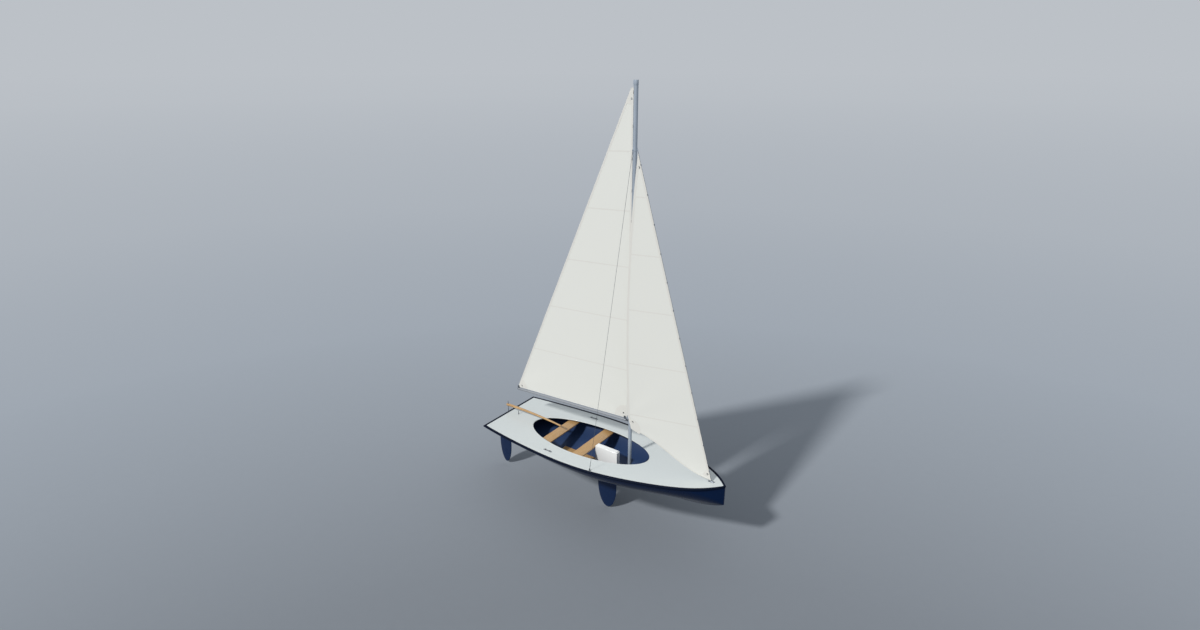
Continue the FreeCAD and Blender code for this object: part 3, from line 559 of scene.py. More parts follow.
@grouped("Wood grain", ("Colour", "Height", "Tone"), Vector=None, Light=(0.6, 0.4, 0.2, 1),
         Dark=(0.4, 0.25, 0.1, 1), Rings=14.0)
def wood_grain(tree, given):
    """Sawn wood: growth bands bent by noise, fibres along X, and pores."""
    where = given["Vector"]
    bend = tree.noise(where, 2.2, stretch=(0.9, 5.0, 5.0))
    bent = tree.add("ShaderNodeCombineXYZ", {"Y": tree.times(bend, 0.085),
                                             "Z": tree.times(bend, 0.060)}).outputs[0]
    band = tree.add("ShaderNodeTexWave", {
        "Vector": tree.vectors("MULTIPLY", tree.vectors("ADD", where, bent)[0],
                               (0.05, 1.0, 1.6))[0],
        "Scale": given["Rings"], "Distortion": 2.2, "Detail": 3.0, "Detail Scale": 1.4},
        wave_type="BANDS", bands_direction="Y", wave_profile="SAW").outputs[1]
    fibre = tree.noise(where, 4.0, 4.0, 0.7, stretch=(3.0, 120.0, 120.0))
    pores = tree.spread(tree.noise(where, 1.5, 2.0, stretch=(22.0, 420.0, 420.0)), 0.62, 0.70)
    tone = tree.spread(tree.plus(tree.times(band, 0.62), tree.times(fibre, 0.45)), 0.15, 0.95)
    shade = tree.mixed(tone, given["Light"], given["Dark"])
    return {"Colour": tree.mixed(tree.times(pores, 0.35), shade, (0.09, 0.045, 0.018, 1.0)),
            "Height": tree.minus(tree.times(fibre, 0.5), pores), "Tone": tone}


@grouped("Brushed metal", ("Lines", "Cloud"), Vector=None)
def brushed(tree, given):
    """Drawn or brushed metal: fine lines along X, and dull fingerprints."""
    where = given["Vector"]
    return {"Lines": tree.noise(where, 1.0, 4.0, 0.7, stretch=(1.5, 900.0, 900.0)),
            "Cloud": tree.spread(tree.noise(where, 7.0, 5.0, 0.6), 0.35, 0.70)}


@grouped("Sailcloth weave", ("Height", "Slub", "Cloud"), Vector=None)
def weave(tree, given):
    """Plain weave over a UV in metres: two sine waves at right angles that take turns."""
    where = given["Vector"]
    pair = tree.add("ShaderNodeSeparateXYZ", {
        0: tree.vectors("MULTIPLY", where, (2400.0, 2400.0, 0.0))[0]}).outputs
    return {"Height": tree.times(tree.maths("SINE", pair[0]), tree.maths("SINE", pair[1])),
            "Slub": tree.noise(where, 1.0, stretch=(8.0, 260.0, 1.0)),
            "Cloud": tree.spread(tree.noise(where, 1.1), 0.3, 0.7)}


# ---- finishes -------------------------------------------------------------------------

PEEL_DEPTH = 0.00012


def gelcoat(name, rgb, roughness=(0.10, 0.26), fade=0.10, texture=None, coat=(0.35, 1.5, 0.5)):
    """Moulded gelcoat: even colour, a little chalk and run marks, faint orange peel.

    texture is (cells per metre, depth in metres) of a moulded non-slip pattern; coat is the
    clear layer's weight and index, and how much the colour under it mirrors.
    """
    made = Finish(name, Coat_Weight=coat[0], Coat_IOR=coat[1], Coat_Roughness=0.06,
                  Specular_IOR_Level=coat[2])
    worn = made.group(weathering, Vector=made.where, Scale=1.4)
    chalk = linear(rgb, 1 - fade, fade * 1.1 * max(linear(rgb)[:3]))
    tint = made.mixed(made.times(worn["Blotch"], 0.45), linear(rgb), chalk)
    tint = made.mixed(made.times(worn["Runs"], 0.4), tint, linear(rgb, 1 - fade * 1.2))
    rough = made.plus(made.times(worn["Scuffs"], 0.10),
                      made.spread(worn["Blotch"], 0.0, 1.0, *roughness))
    height, depth = made.noise(made.where, 140.0, 2.0), PEEL_DEPTH
    if texture:
        scale, depth = texture
        cells = made.cells(made.where, scale, feature="SMOOTH_F1")
        height = made.plus(made.times(height, PEEL_DEPTH / depth),
                           made.spread(cells, 0.15, 0.6, 1.0, 0.0))
    return made.finished(tint, rough, height, 1.0, depth)


def varnished_wood(name, light, dark, along):
    """Varnished wood with its grain along one axis."""
    made = Finish(name, Coat_Weight=0.5, Coat_Roughness=0.12)
    grain = made.group(wood_grain, Vector=made.turned(made.where, along), Light=linear(light),
                       Dark=linear(dark), Rings=13.0)
    worn = made.group(weathering, Vector=made.where, Scale=5.0)
    rough = made.plus(made.spread(grain["Tone"], 0.0, 1.0, 0.30, 0.42),
                      made.times(worn["Blotch"], 0.12))
    return made.finished(grain["Colour"], rough, grain["Height"], 0.6, 0.0004)


def drawn_metal(name, rgb, along, metallic=1.0, rough=(0.28, 0.42)):
    """Metal with fine lines along one axis and dull patches."""
    made = Finish(name, Metallic=metallic)
    lines = made.group(brushed, Vector=made.turned(made.where, along))
    tint = made.mixed(made.times(lines["Cloud"], 0.7), linear(rgb), linear(rgb, 0.86))
    dull = made.plus(made.spread(lines["Lines"], 0.3, 0.7, *rough),
                     made.times(lines["Cloud"], 0.08))
    return made.finished(tint, dull, lines["Lines"], 0.25, 0.00015)


def moulded(name, rgb):
    """Moulded plastic: fine pebble and dusty patches."""
    made = Finish(name)
    worn = made.group(weathering, Vector=made.where, Scale=9.0)
    tint = made.mixed(made.times(worn["Blotch"], 0.8), linear(rgb), linear(rgb, 0.8, 0.025))
    rough = made.spread(worn["Blotch"], 0.0, 1.0, 0.45, 0.62)
    return made.finished(tint, rough, made.cells(made.where, 700.0), 0.7, 0.00018)


def sailcloth(name, rgb, thread=None):
    """Woven sailcloth over its own UV in metres; thread adds two rows of zigzag stitches."""
    made = Finish(name, uv=True, Sheen_Weight=0.12, Sheen_Roughness=0.4)
    cloth = made.group(weave, Vector=made.where)
    tint = made.mixed(made.times(cloth["Slub"], 0.8), linear(rgb),
                      linear(rgb, (0.955, 0.955, 0.95)))
    tint = made.mixed(made.times(cloth["Cloud"], 0.5), tint, linear(rgb, (0.975, 0.97, 0.955)))
    height = cloth["Height"]
    if thread is not None:
        side, along = made.add("ShaderNodeSeparateXYZ", {0: made.where}).outputs[:2]
        zigzag = made.times(made.maths("PINGPONG", along, 0.004), 0.5)
        row = made.maths("ABSOLUTE", made.minus(made.maths("ABSOLUTE", side), 0.0055))
        line = made.maths("ABSOLUTE", made.minus(row, zigzag))
        stitch = made.spread(line, 0.0004, 0.0009, 1.0, 0.0)
        tint = made.mixed(stitch, tint, linear(thread))
        height = made.plus(height, made.times(stitch, 3.0))
    rough = made.spread(cloth["Slub"], 0.3, 0.7, 0.50, 0.62)
    return made.finished(tint, rough, height, 0.4, 0.00012)


WOOD = ("wood_light", "wood_dark")
# each finish: its slot, its maker, the colours it takes and its settings
FINISHES = {
    # the navy and inside gelcoats are a painted shaded copy and a painted lit copy of one navy
    # gelcoat
    "navy gelcoat": ("hull_gelcoat", gelcoat, ("navy",), {
        "roughness": (0.18, 0.32), "fade": 0.03, "coat": (0.25, 1.2, 0.06)}),
    "inside gelcoat": ("hull_gelcoat", gelcoat, ("inside",), {
        "roughness": (0.3, 0.45), "fade": 0.06, "coat": (0.2, 1.3, 0.3)}),
    "deck gelcoat": ("deck_gelcoat", gelcoat, ("deck",), {
        "roughness": (0.30, 0.44), "fade": 0.12, "texture": (420.0, 0.00025)}),
    "white gelcoat": ("case_white", gelcoat, ("case",), {"fade": 0.08}),
    "foil paint": ("foil_paint", gelcoat, ("foil",), {
        "roughness": (0.22, 0.36), "fade": 0.05, "coat": (0.4, 1.25, 0.15)}),
    "strake gelcoat": ("rail_rubber", gelcoat, ("rail",), {
        "roughness": (0.38, 0.52), "fade": 0.03, "coat": (0.05, 1.2, 0.06)}),
    "wood fore and aft": ("varnished_wood", varnished_wood, WOOD, {"along": "X"}),
    "wood athwart": ("varnished_wood", varnished_wood, WOOD, {"along": "Y"}),
    "wood upright": ("varnished_wood", varnished_wood, WOOD, {"along": "Z"}),
    "mast alloy": ("spar_aluminium", drawn_metal, ("mast",), {"along": "Z", "metallic": 0.2}),
    "boom alloy": ("spar_aluminium", drawn_metal, ("boom",), {"along": "X", "metallic": 0.2}),
    "steel": ("stainless", drawn_metal, ("steel",), {"along": "X", "rough": (0.18, 0.30)}),
    "wire": ("stay_wire", drawn_metal, ("wire",), {"along": "Z", "rough": (0.30, 0.45)}),
    "black plastic": ("black_plastic", moulded, ("black",), {}),
    "sailcloth": ("sailcloth", sailcloth, ("cloth",), {}),
    "stitched sailcloth": ("sailcloth", sailcloth, ("cloth", "thread"), {}),
}


def finish_of(name):
    """The boat's finish of that name, made when it is first asked for."""
    if name in bpy.data.materials:
        return bpy.data.materials[name]
    _, maker, wanted, settings = FINISHES[name]
    colours = bpy.context.scene.dinghy_colours
    return maker(name, *(getattr(colours, key) for key in wanted), **settings)


# ---- sails ----------------------------------------------------------------------------

class SailPlane:
    """A sail laid out flat: a is up the luff, b is square to it towards the leech.

    A point (a, b) lies at tack + a up + b out, and off the plane by shallow creases that
    fan from each corner: h sin(k angle) exp(-r / reach) (1 - exp(-(r / near)^2)).
    """

    CREASE, REACH, NEAR, FOLDS = 0.0030, 0.80, 0.35, (7.0, 9.0, 7.0)

    def __init__(self, tack, head, clew):
        self.tack = tack
        self.up = unit(head - tack)
        out = clew - tack
        self.out = unit(out - self.up * (out @ self.up))
        self.normal = unit(np.cross(self.out, self.up))
        self.corners = self.flat(np.stack([tack, head, clew]))

    def flat(self, point):
        """The (a, b) of points of the plane."""
        offset = point - self.tack
        return np.stack([offset @ self.up, offset @ self.out], -1)

    def crease(self, ab):
        """How far the cloth stands off its plane at (a, b)."""
        height = 0.0
        for corner, folds in zip(self.corners, self.FOLDS):
            offset = ab - corner
            far = np.linalg.norm(offset, axis=-1)
            angle = np.arctan2(offset[..., 1], offset[..., 0])
            height = height + (self.CREASE * np.sin(folds * angle) * np.exp(-far / self.REACH)
                               * (1 - np.exp(-(far / self.NEAR) ** 2)))
        return height

    def off_cloth(self, points):
        """How far points stand off the cloth's middle, along the plane's normal."""
        return (points - self.tack) @ self.normal - self.crease(self.flat(points))

    def shade(self, piece):
        """Give a piece of the sail the cloth's own normals, on both faces.

        The normal at (a, b) is n - (dh/da) up - (dh/db) out, with the slopes of the creases
        h from central differences; a point below the cloth's middle gets its opposite. A
        face that looks the other way than its own side of the cloth is turned over first.
        """
        mesh = piece.data
        facing = read_vectors(mesh.polygons, "normal") @ self.normal
        side = self.off_cloth(read_vectors(mesh.polygons, "center"))
        turned_in = np.flatnonzero((np.abs(facing) > 0.5) & (facing * side < 0))
        with edited(mesh) as work:
            work.faces.ensure_lookup_table()
            bmesh.ops.reverse_faces(work, faces=[work.faces[i] for i in turned_in.tolist()])
        points, step = read_vectors(mesh.vertices, "co"), 0.002
        ab = self.flat(points)
        up, out = ((self.crease(ab + move) - self.crease(ab - move))[:, None] / (2 * step)
                   for move in np.eye(2) * step)
        normals = unit(self.normal - up * self.up - out * self.out)
        normals *= np.where(self.off_cloth(points) < 0, -1.0, 1.0)[:, None]
        set_smooth(mesh)
        mesh.normals_split_custom_set_from_vertices(normals.tolist())

    def solid(self, ab, lift=0.0):
        """Points of the boat's frame for (a, b), lifted off the cloth by lift."""
        off = (self.crease(ab) + lift)[..., None]
        return self.tack + ab[..., :1] * self.up + ab[..., 1:] * self.out + off * self.normal

    def band(self, first, second, thick):
        """A slab of cloth round the sail, between two lines of (a, b), with UV in metres."""
        loop = np.stack([self.solid(first, thick), self.solid(second, thick),
                         self.solid(second, -thick), self.solid(first, -thick)], 1)
        points, quads = capped(loop)
        along = travelled((first + second) / 2)
        along = np.concatenate([along[:1], along, along[-1:]])
        half = np.linalg.norm(second - first, axis=1).max() / 2
        u = half * np.array([[-1, 1, 1, -1], [1, 1, 1, 1], [1, -1, -1, 1], [-1, -1, -1, -1]])
        low, high = along[:-1, None, None], along[1:, None, None]
        v = np.where([False, False, True, True], high, low)
        shape = (len(points) - 1, 4, 4)
        uvs = np.stack([np.broadcast_to(u, shape), np.broadcast_to(v, shape)], -1)
        return points, quads, uvs.reshape(-1, 4, 2)


def cloth_sheet(plane, luff, leech, columns=110):
    """The sail's cloth between two lines of (a, b), as points, quads and UVs in metres."""
    share = np.linspace(0, 1, columns)[None, :, None]
    ab = luff[:, None] * (1 - share) + leech[:, None] * share
    quads = grid_quads(len(luff), columns)
    return plane.solid(ab), quads, ab.reshape(-1, 2)[quads][..., ::-1]


def inset_line(edge, towards, width):
    """An edge of (a, b) moved by width towards another line of the same length."""
    run = towards - edge
    far = np.linalg.norm(run, axis=1)[:, None]
    return edge + run * np.minimum(width / np.maximum(far, 1e-6), 1.0)


def corner_patch(plane, corner, first, second, radius, thick, steps=20):
    """A fan of cloth at a corner, between the directions to two other points."""
    start, end = (np.arctan2(*(point - corner)[::-1]) for point in (first, second))
    opening = (end - start + np.pi) % (2 * np.pi) - np.pi
    angle = start + opening * np.linspace(0.0, 1.0, steps)
    ray = points_at(np.cos(angle), np.sin(angle)) * radius
    return plane.band(corner + ray * 0.02, corner + ray, thick)


def eyelet(radius):
    """A pressed ring about the origin: a closed rounded profile turned about +Z."""
    middle, thick = radius * 0.76, radius * 0.24
    cosine, sine = ring(12)
    return lathe(points_at(middle + thick * cosine, thick * 0.95 * sine), 28, closed=True)


def punch_holes(piece, places, radius):
    """Cut a round hole through a sail at each place."""
    drill = lathe([(0, -0.02), (radius, -0.02), (radius, 0.02), (0, 0.02)], 20)
    cutter = make_piece("hole_cutter", placed(drill, places), BODY_OF["mast"], "sailcloth",
                        smooth=False)
    step = piece.modifiers.new("holes", "BOOLEAN")
    step.operation, step.object, step.solver = "DIFFERENCE", cutter, "EXACT"
    apply_modifiers(piece)
    bpy.data.objects.remove(cutter)


def enclosed(luff, leech):
    """The area between two lines of (a, b)."""
    a, b = np.concatenate([luff, leech[::-1]]).T
    return float(abs(np.sum(a * np.roll(b, -1) - np.roll(a, -1) * b)) / 2)


# how many layers thick each part of a sail is, and how large the eyes' holes are
SEAM_LAYERS, TABLING_LAYERS, PATCH_LAYERS, HOLE_SHARE = 1.1, 1.4, ((1.0, 1.7), (0.66, 2.0)), 0.55


def make_sail(node, plane, luff, leech, seams, corners, patch):
    """A sail's cloth with its seams, tablings, corner patches and eyes.

    luff and leech are lines of (a, b) with a row for each height. seams are row places.
    corners is a list of (corner, neighbour, neighbour, eye) in (a, b); patch is the radius
    of the corners' patches.
    """
    sizes = bpy.context.scene.dinghy_sizes
    body, thick, hem = BODY_OF[node], sizes.cloth_thickness, sizes.tabling_width
    hole = sizes.grommet_radius * HOLE_SHARE
    eyes = [(plane.solid(eye), plane.normal) for *_, eye in corners]

    def sewn(kind, parts):
        """A piece of the sail from slabs of stitched cloth."""
        return make_piece(f"{node}_{kind}", joined(parts), body, "stitched sailcloth",
                          smooth=False)

    cloth = make_piece(f"{node}_cloth", cloth_sheet(plane, luff, leech), body, "sailcloth",
                       stands_for=node)
    skin = cloth.modifiers.new("thickness", "SOLIDIFY")
    skin.thickness, skin.offset = thick, 0.0
    apply_modifiers(cloth)
    punch_holes(cloth, eyes, hole)

    rows, bands = np.arange(len(luff)), []
    share = np.linspace(0.001, 0.999, 60)[:, None]
    for seam in seams:
        start, end = (np.array([np.interp(seam, rows, line[:, k]) for k in (0, 1)])
                      for line in (luff, leech))
        line = start * (1 - share) + end * share
        square = unit([-(end - start)[1], (end - start)[0]]) * sizes.seam_width / 2
        bands.append(plane.band(line - square, line + square, thick * SEAM_LAYERS))
    seam_piece = sewn("seams", bands)
    tabling = sewn("tabling", [
        plane.band(edge, inset_line(edge, other, hem), thick * TABLING_LAYERS)
        for edge, other in ((luff, leech), (leech, luff))])
    patches = sewn("patches", [
        corner_patch(plane, corner, first, second, patch * size, thick * layers)
        for corner, first, second, _ in corners for size, layers in PATCH_LAYERS])
    punch_holes(patches, eyes, hole)
    rings = make_piece(f"{node}_eyes", placed(eyelet(sizes.grommet_radius), eyes), body, "steel")
    for piece in (cloth, seam_piece, tabling, patches):
        plane.shade(piece)
    enclosed(luff, leech)


# ---- operators ------------------------------------------------------------------------

class DINGHY_OT_gelcoat(bpy.types.Operator):
    """Finish the hull, deck, transom and rubbing strake, and round the edges of the case"""
    bl_idname = "dinghy.gelcoat"
    bl_label = "Hull and deck"

    @staticmethod
    def two_sided(name, node):
        """A copy of a node of the hull that stands for it, in two colours: one navy gelcoat,
        painted darker outside as shade and lighter inside as light.

        A face is inside where its normal points towards the middle of the deck: the dot
        product of the normal and the face's offset from that middle is below zero.
        """
        mesh = NODES[node].data.copy()
        normals = read_vectors(mesh.polygons, "normal")
        offset = read_vectors(mesh.polygons, "center") - UP * box_of("deck")[0, 2]
        offset[:, 0] *= abs(normals[:, 0]) > 0.9
        inner = np.sum(offset * normals, axis=1) < 0
        add_piece(name, mesh, BODY_OF[node], ("navy gelcoat", "inside gelcoat"), node)
        mesh.polygons.foreach_set("material_index", inner.astype(np.int32))

    @staticmethod
    def strake(sizes, around=20, most_mitre=1.5, stem_run=0.4, thinning=0.7, above=0.003):
        """A rounded strake swept round the deck's edge.

        The path is the deck's outer edge, its points sorted by their angle about the middle.
        The section is a superellipse of exponent 3; it stands off the edge by strake_reach,
        less by thinning at the stem, and lies over the deck by strake_cover. Its sideways
        offset follows the mean of the normals of the two lines that meet at each point.
        """
        # the rim: the deck's upper points outside the cockpit's oval, each of them once
        points = node_points("deck")
        edge = points[np.abs(points[:, 2] - sheer(sizes, points[:, 0])) < 0.001]
        oval = np.hypot((edge[:, 0] - STERN - sizes.cockpit_aft) / sizes.cockpit_length,
                        edge[:, 1] / sizes.cockpit_width)
        edge = edge[oval > 0.52]
        edge = edge[np.argsort(np.arctan2(edge[:, 1], edge[:, 0] - edge[:, 0].mean()))]
        edge = edge[np.linalg.norm(edge - np.roll(edge, 1, axis=0), axis=1) > 0.002]
        edge[:, 2] = sheer(sizes, edge[:, 0])
        # the sideways offset: the mean normal, no longer than most_mitre
        line = np.roll(edge, -1, axis=0) - edge
        normal = unit(points_at(line[:, 1], -line[:, 0]))
        mean = normal + np.roll(normal, 1, axis=0)
        mean /= np.sum(mean * normal, axis=1)[:, None]
        mitre = np.linalg.norm(mean, axis=1)[:, None]
        mean *= np.minimum(mitre, most_mitre) / mitre
        # the section: half its width and height times the superellipse, round its middle
        near_stem = np.clip((edge[:, 0] - STEM + stem_run) / stem_run, 0, 1) ** 2
        out, cover = sizes.strake_reach * (1 - thinning * near_stem[:, None]), sizes.strake_cover
        wide, tall = ring(around, 2 / 3)
        offset = (out - cover) / 2 + (out + cover) / 2 * wide
        height = edge[:, 2:] + above + sizes.strake_depth / 2 * (tall - 1)
        rings = np.concatenate([edge[:, None, :2] + mean[:, None] * offset[..., None],
                                height[..., None]], -1)
        return ringed(np.concatenate([rings, rings[:1]]))

    def execute(self, context):
        sizes = context.scene.dinghy_sizes
        self.two_sided("hull_skin", "hull_shell")
        self.two_sided("transom_board", "transom")
        paint(["deck"], "deck gelcoat")
        make_piece("edge_strake", self.strake(sizes), "hull", "strake gelcoat",
                   stands_for="rub_rail")
        for name, node in (("case_box", "daggerboard_case"), ("board_head", "daggerboard_head")):
            softened(name, node, "white gelcoat", sizes.edge_softness / 2)
        return {"FINISHED"}


class DINGHY_OT_woodwork(bpy.types.Operator):
    """Round and varnish the thwarts, keelson, mast step and rudder cheeks, and bend the tiller"""
    bl_idname = "dinghy.woodwork"
    bl_label = "Woodwork"

    BOARDS = (("thwart_plank_aft", "aft_thwart", "wood athwart"),
              ("thwart_plank_main", "main_thwart", "wood athwart"),
              ("keelson_plank", "keelson", "wood fore and aft"),
              ("step_block", "mast_step", "wood fore and aft"),
              ("cheek_board_port", "rudder_cheek_port", "wood upright"),
              ("cheek_board_starboard", "rudder_cheek_starboard", "wood upright"))

    @staticmethod
    def tiller(ends, heights, thick, rows=90, around=28, end_round=0.014):
        """A bar bent to the parabola through three heights, tapered along its length.

        At share s the ring is a superellipse of exponent 2.6 whose half size runs from
        thick[0] / 2 to thick[1] / 2 and shrinks as sqrt(1 - (1 - d / end_round)^2) within
        end_round of each end.
        """
        share = (1 - np.cos(np.linspace(0, np.pi, rows)))[:, None] / 2
        x = ends[0] + share * (ends[1] - ends[0])
        z = np.polyval(np.polyfit([0.0, 0.5, 1.0], heights, 2), share)
        near = np.minimum(share, 1 - share) * (ends[1] - ends[0])
        radius = ((thick[0] + share * (thick[1] - thick[0])) / 2
                  * np.sqrt(1 - (1 - np.minimum(near / end_round, 1)) ** 2))
        wide, tall = ring(around, 2 / 2.6)
        return ringed(points_at(x, radius * wide * 0.94, z + radius * tall))

    def execute(self, context):
        sizes = context.scene.dinghy_sizes
        for name, node, finish in self.BOARDS:
            softened(name, node, finish, sizes.edge_softness)
        bar = self.tiller(box_of("tiller")[:, 0],
                          (sizes.tiller_aft, sizes.tiller_middle, sizes.tiller_fore),
                          (sizes.tiller_butt, sizes.tiller_tip))
        make_piece("tiller_bar", bar, "rudder", "wood fore and aft", stands_for="tiller")
        return {"FINISHED"}


class DINGHY_OT_foils(bpy.types.Operator):
    """Shape the daggerboard and the rudder blade as faired foils"""
    bl_idname = "dinghy.foils"
    bl_label = "Foils"

    @staticmethod
    def foil(rows, half_thick):
        """A faired blade from rows of (height, front, back, fullness).

        At share c of the chord, the half thickness is
        h sqrt(1 - (1 - min(c / 0.14, 1))^2) (1 - 0.82 max((c - 0.55) / 0.45, 0)^2),
        times the row's fullness.
        """
        chord = (1 - np.cos(np.linspace(0, np.pi, 41))) / 2
        half = (np.sqrt(1 - (1 - np.minimum(chord / 0.14, 1)) ** 2)
                * (1 - 0.82 * np.maximum((chord - 0.55) / 0.45, 0) ** 2))
        share, width = (np.concatenate(pair) for pair in ((chord, chord[::-1]),
                                                          (half, -half[::-1])))
        height, fore, aft, fullness = rows.T[..., None]
        return capped(points_at(fore + (aft - fore) * share, half_thick * width * fullness,
                                height))

    @staticmethod
    def outline(low, high, round_depth, top, count, gap=0.02):
        """Rows of a blade up to a height, whose tip is half an ellipse.

        At angle t from -90 to 0 degrees the tip is at depth (1 + sin t) above its lowest
        point, half the chord times cos t wide to each side, and sqrt(cos t) full.
        """
        middle, half = (low[0] + high[0]) / 2, (high[0] - low[0]) / 2
        angle = np.linspace(-np.pi / 2, 0, 40)
        reach = half * np.cos(angle)
        tip = points_at(low[2] + round_depth * (1 + np.sin(angle)), middle + reach,
                        middle - reach, np.sqrt(np.cos(angle)))
        height = np.linspace(low[2] + round_depth + gap, top, count)
        return np.concatenate([tip, points_at(height, high[0], low[0], 1.0)])

    def execute(self, context):
        sizes = context.scene.dinghy_sizes
        low, high = box_of("daggerboard")
        board = self.outline(low, high, sizes.board_round, high[2], 8)
        blade_low, blade_high = box_of("rudder_blade")
        front, shoulder = box_of("rudder_cheek_port")[1, 0], -sizes.blade_shoulder
        blade = np.concatenate([
            self.outline(blade_low, blade_high, sizes.blade_round, shoulder, 5),
            points_at(np.linspace(shoulder, blade_high[2], 5), front, front - sizes.tang_chord,
                      1.0)])
        for name, node, rows in (("daggerboard_blade", "daggerboard", board),
                                 ("rudder_foil", "rudder_blade", blade)):
            thick = box_of(node)[:, 1]
            foil = make_piece(name, self.foil(rows, (thick[1] - thick[0]) / 2), BODY_OF[node],
                              "foil paint", stands_for=node)
            foil.data.set_sharp_from_angle(angle=math.radians(40))
        return {"FINISHED"}


class DINGHY_OT_spars(bpy.types.Operator):
    """Finish the mast and boom, and add the luff track, its cars and the boom's foot rail"""
    bl_idname = "dinghy.spars"
    bl_label = "Mast and boom"

    # sections in millimetres: across the spar, and off it
    TRACK = ((-8, 1.5), (8, 1.5), (8, -2.5), (3.5, -3.5), (3.5, -6), (7, -6.5), (7, -9),
             (-7, -9), (-7, -6.5), (-3.5, -6), (-3.5, -3.5), (-8, -2.5))
    FOOT_RAIL = ((-7, -1.5), (7, -1.5), (7, 2), (3, 3), (3, 5), (6, 5.5), (6, 7.5),
                 (-6, 7.5), (-6, 5.5), (-3, 5), (-3, 3), (-7, 2))
    TRACK_FOOT, TRACK_GAP, RAIL_GAP = 0.15, 0.002, 0.03
    CARS, CAR_HALF, CAR_BEHIND = 12, (0.0025, 0.0095, 0.026), 0.0108

    def execute(self, context):
        paint(("mast", "hounds_band"), "mast alloy")
        paint(["boom"], "boom alloy")
        paint(("gooseneck_bracket", "gooseneck_toggle", "tack_clip", "clew_outhaul"), "steel")
        back = box_of("mast")[0, 0]
        foot = box_of("mainsail")[0, 2] + self.TRACK_FOOT
        top = box_of("masthead_cap")[0, 2] - self.TRACK_GAP
        make_piece("luff_track", sweep(self.TRACK, [(back, 0, foot), (back, 0, top)], PORT, FORE),
                   BODY_OF["mast"], "mast alloy", smooth=False)
        cars = moved(rounded_block(self.CAR_HALF, 0.35, 16, 32),
                     [(back - self.CAR_BEHIND, 0, z)
                      for z in np.linspace(foot + 0.12, top - 0.10, self.CARS)])
        make_piece("luff_cars", cars, BODY_OF["mast"], "black plastic")
        softened("masthead_block", "masthead_cap", "mast alloy", 0.002)
        softened("boom_plug", "boom_end_cap", "black plastic", 0.003)

        start, end = extreme("boom", (1, 0, 0.05)), extreme("boom", (-1, 0, 0.05))
        way = unit(end - start)
        lift = np.cross(PORT, way)
        lift *= np.sign(lift[2])
        start[1] = end[1] = 0.0
        path = [start + way * self.RAIL_GAP, end - way * self.RAIL_GAP]
        make_piece("foot_rail", sweep(self.FOOT_RAIL, path, PORT, lift), BODY_OF["boom"],
                   "boom alloy", smooth=False)
        return {"FINISHED"}


def stay_ends(node, ahead, port, radius=0.0):
    """The foot and head of a stay of a radius that runs from corner to corner of its box.

    ahead and port say whether the foot is at the fore side and the port side of the box.
    """
    x, y, z = (box_of(node) + np.outer((1, -1), (radius, radius, 0))).T
    return np.array([x[ahead], y[port], z[0]]), np.array([x[1 - ahead], y[1 - port], z[1]])


class DINGHY_OT_rigging(bpy.types.Operator):
    """Make the shrouds and forestay as laid wire, with swages and bottle screws"""
    bl_idname = "dinghy.rigging"
    bl_label = "Standing rigging"

    # profiles in millimetres: radius, and height along the stay
    BOTTLE_SCREW = ((0, 0), (3.1, 0), (3.1, 22), (3.9, 24), (4.6, 28), (4.6, 74), (3.9, 78),
                    (3.1, 80), (3.1, 98), (3.8, 101), (3.8, 136), (3.2, 142), (2.6, 145),
                    (0, 145))
    SWAGE = ((0, 0), (2.5, 0), (3.0, 5), (3.8, 12), (3.8, 52), (3.2, 56), (0, 57))
    SWAGE_FROM_HEAD = 0.060

    def execute(self, context):
        sizes = context.scene.dinghy_sizes
        screw, swage = lathe(self.BOTTLE_SCREW, 20, MM), lathe(self.SWAGE, 20, MM)
        for node, *corner in (("shroud_port", 0, 1), ("shroud_starboard", 0, 0),
                              ("forestay", 1, 0)):
            foot, head = stay_ends(node, *corner, sizes.wire_radius)
            way = unit(head - foot)
            make_piece(f"{node}_wire", stranded(foot, head, sizes.wire_radius, sizes.wire_lay),
                       BODY_OF[node], "wire", stands_for=node)
            top = head - way * self.SWAGE_FROM_HEAD
            make_piece(f"{node}_ends", joined([placed(screw, [(foot, way)]),
                                               placed(swage, [(top, way)])]),
                       BODY_OF[node], "steel")
        return {"FINISHED"}


class DINGHY_OT_mainsail(bpy.types.Operator):
    """Cut and sew the mainsail"""
    bl_idname = "dinghy.mainsail"
    bl_label = "Mainsail"

    PANELS, PATCH = 6, 0.24

    def execute(self, context):
        node = "mainsail"
        head, peak, clew, tack, luff_foot = (
            extreme(node, way) * (1, 0, 1)
            for way in ((0.01, 0, 1), (-0.01, 0, 1), (-1, 0, 0), (0.7, 0, -1), (1, 0, -0.2)))
        plane = SailPlane(np.array([luff_foot[0], 0.0, tack[2]]), head, clew)
        flat = plane.flat
        # the luff goes from the tack to the mast close above it, then up to the head
        rise = np.concatenate([[0.0, 0.004, 0.008], np.linspace(0.012, 1, 110)])
        luff = flat(np.stack([np.interp(rise, [0.0, 0.012, 1.0], values)
                              for values in zip(tack, luff_foot, head)], -1))
        leech = flat(clew + rise[:, None] * (peak - clew))
        seams = np.interp(np.arange(1, self.PANELS) / self.PANELS, rise, np.arange(len(rise)))
        # each corner with its neighbours and its eye, which sits inside the cloth
        corners = [
            (flat(peak), flat(clew), flat(tack) + (0, -0.045), flat(head + (-0.032, 0, -0.16))),
            (flat(clew), flat(peak), flat(tack), flat(clew + (0.105, 0, 0.055))),
            (flat(tack), flat(head) + (0, 0.045), flat(clew), flat(tack + (-0.055, 0, 0.085)))]
        make_sail(node, plane, luff, leech, seams, corners, self.PATCH)
        return {"FINISHED"}


